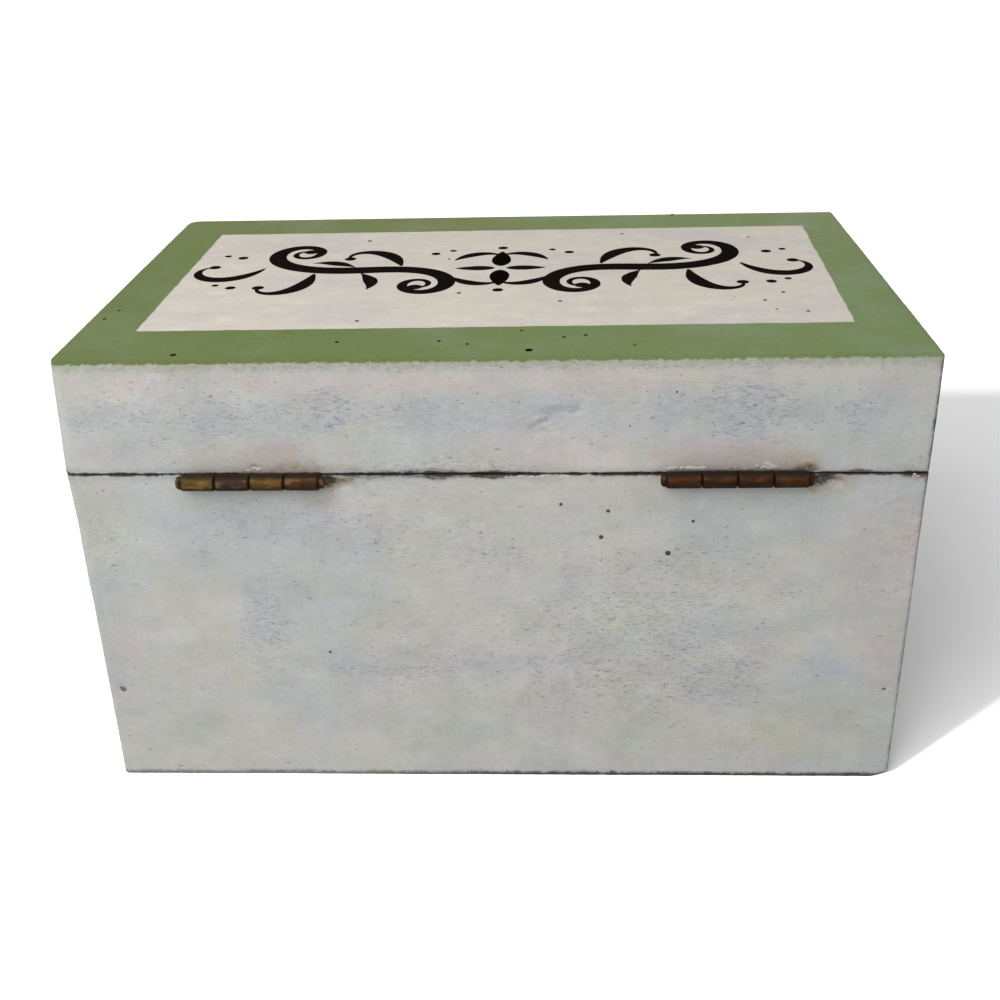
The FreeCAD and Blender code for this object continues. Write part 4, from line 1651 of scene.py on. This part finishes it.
@dataclass(frozen=True)
class Studio:
    """The camera, the lamps and the pale floor."""

    form: Form
    camera_place: Triple = (-12.364, 272.247, 175.453)
    camera_aim: Triple = (-1.387, 52.8, 66.277)
    camera_roll: float = -1.566
    lens: float = 45.83
    sensor: float = 36.0
    key_place: Triple = (202.0, 303.0, 403.0)
    key_size: float = 400.0
    key_power: float = 1.72
    fill_level: float = 0.50
    shadow_from: Triple = (0.683, 0.573, 0.454)
    shadow_softness: float = 4.5
    shadow_power: float = 5.5
    floor_size: float = 4.0
    floor_seen: float = 0.85
    floor_glow: float = 0.05
    floor_lit: float = 0.25
    floor_roughness: float = 0.9

    def build(self) -> None:
        """Set up the picture."""
        bpy.context.scene.view_settings.view_transform = "Standard"
        self.camera()
        self.world()
        place = Vector(self.key_place) * MM
        aim = Vector((0.0, self.form.half_depth, self.form.top / 2)) * MM
        key = self.lamp("key", "AREA", self.key_power, aim - place)
        key.data.size = self.key_size * MM
        key.location = place
        self.shadow_lamp(self.floor())

    def camera(self) -> None:
        """Stand the camera where the photograph was taken."""
        data = bpy.data.cameras.new("camera")
        data.lens, data.sensor_width, data.clip_start = self.lens, self.sensor, 10 * MM
        place, aim = Vector(self.camera_place) * MM, Vector(self.camera_aim) * MM
        turn = (aim - place).to_track_quat("-Z", "Y").to_matrix().to_4x4()
        roll = Matrix.Rotation(math.radians(self.camera_roll), 4, "Z")
        made = linked("camera", data)
        made.matrix_world = Matrix.Translation(place) @ turn @ roll
        bpy.context.scene.camera = made

    def lamp(self, name: str, kind: str, power: float, toward: Vector) -> bpy.types.Object:
        """Hang a lamp.

        Args:
            name: The lamp's name.
            kind: Its type name.
            power: How strong it is.
            toward: The way that it shines.

        Returns:
            The lamp.
        """
        made = linked(name, bpy.data.lights.new(name, kind))
        made.data.energy = power
        made.rotation_euler = toward.to_track_quat("-Z", "Y").to_euler()
        return made

    def shadow_lamp(self, floor: bpy.types.Object) -> None:
        """Let a harder lamp light the floor alone, so that the box's shadow falls to the right.

        Args:
            floor: The floor.
        """
        made = self.lamp("shadow", "SUN", self.shadow_power, -Vector(self.shadow_from))
        made.data.angle = math.radians(self.shadow_softness)
        lit = bpy.data.collections.new("floor_only")
        lit.objects.link(floor)
        made.light_linking.receiver_collection = lit

    def world(self) -> None:
        """Fill the shadows evenly and show white to the camera and in reflections."""
        world = bpy.data.worlds.new("studio")
        world.use_nodes = True
        bpy.context.scene.world = world
        graph = Graph(world.node_tree)
        graph.tree.nodes.clear()
        path = graph.node("ShaderNodeLightPath")
        seen = graph.out(path, "Is Camera Ray") + graph.out(path, "Is Glossy Ray")
        seen = graph.math("ADD", seen, graph.out(path, "Is Transmission Ray"), clamp=True)
        level = graph.blend(self.fill_level, 1.0, seen)
        back = graph.call("ShaderNodeBackground", Color=(1.0, 1.0, 1.0, 1.0), Strength=level)
        graph.node("ShaderNodeOutputWorld", back)

    def floor(self) -> bpy.types.Object:
        """Lay a pale floor that keeps the box's shadow and reads as white.

        Returns:
            The floor.
        """
        mesh = bpy.data.meshes.new("floor")
        ways = ((-1, -1), (1, -1), (1, 1), (-1, 1))
        corners = [(self.floor_size * x, self.floor_size * y, 0.0) for x, y in ways]
        mesh.from_pydata(corners, [], [(0, 1, 2, 3)])
        made = linked("floor", mesh)
        graph = Shader("floor")
        seen = graph.call("ShaderNodeLightPath", pick="Is Camera Ray")
        level = graph.blend(self.floor_lit, self.floor_seen, seen)
        mesh.materials.append(graph.close(
            Finish.shine, Base_Color=graph.join(level, level, level), Roughness=self.floor_roughness,
            Emission_Color=(1.0, 1.0, 1.0, 1.0), Emission_Strength=seen * self.floor_glow,
        ))
        return made


def mortise(side: Side, form: Form, fit: float = 0.2, floor_gap: float = 2.0, past: float = 1.0) -> Block:
    """Return the block that is cut from the base's rim for a hinge.

    Args:
        side: The hinge's side.
        form: The box's outer sizes.
        fit: The room about the leaf.
        floor_gap: How far the mortise's floor is below the lid.
        past: How far the cut runs out of the board.

    Returns:
        The block.
    """
    low, high = (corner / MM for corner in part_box(f"{side.value}_hinge_base_leaf"))
    return Block(
        (low.x - fit, low.y - fit, form.underside - floor_gap),
        (high.x + fit, form.half_depth + past, form.rim + past),
    )


def dress(frame: dict, label: str, material: bpy.types.Material) -> None:
    """Give some carried-over solids their material.

    Args:
        frame: What the frame's loader returned.
        label: What the solids have in their names.
        material: Their finish.
    """
    for name, solid in frame["nodes"].items():
        for slot in solid.material_slots if label in name else ():
            slot.material = material


def main() -> None:
    """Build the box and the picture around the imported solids."""
    logging.basicConfig(level=logging.INFO, format="%(message)s")
    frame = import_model()
    form = Form.read()
    Studio(form).build()
    sanding = Sanding(form)
    cuts = [mortise(side, form) for side in Side]
    Half("base", form, sanding, 0.0, form.rim, Wear(foot_round=1.9), cuts).build()
    worn = Wear(right_round_high=3.4, top_round=0.8, flare=0.5, flare_reach=22.0)
    Half("lid", form, sanding, form.underside, form.top, worn, panel_thick=5.0).build()
    drops = DropTree()
    black = BLACK_PAINT.material("black_paint")
    Scroll(form, black, drops).build()
    Splashes(form, drops, black).build()
    leaves = LeafTree()
    for side, finish in BARRELS.items():
        brass = finish.material(f"{side.value}_hinge_brass")
        Hinge(side, form, leaves, brass).build()
        dress(frame, f"{side.value}_hinge_pin", brass)
    dress(frame, "brads", DULL_STEEL.material("dull_steel"))
    dress(frame, "screws", DULL_BRASS.material("dull_brass"))
    dress(frame, "base_bottom", PaintedPine(form, Grain.ALONG_X).material("base_bottom_pine"))


if __name__ == "__main__":
    main()
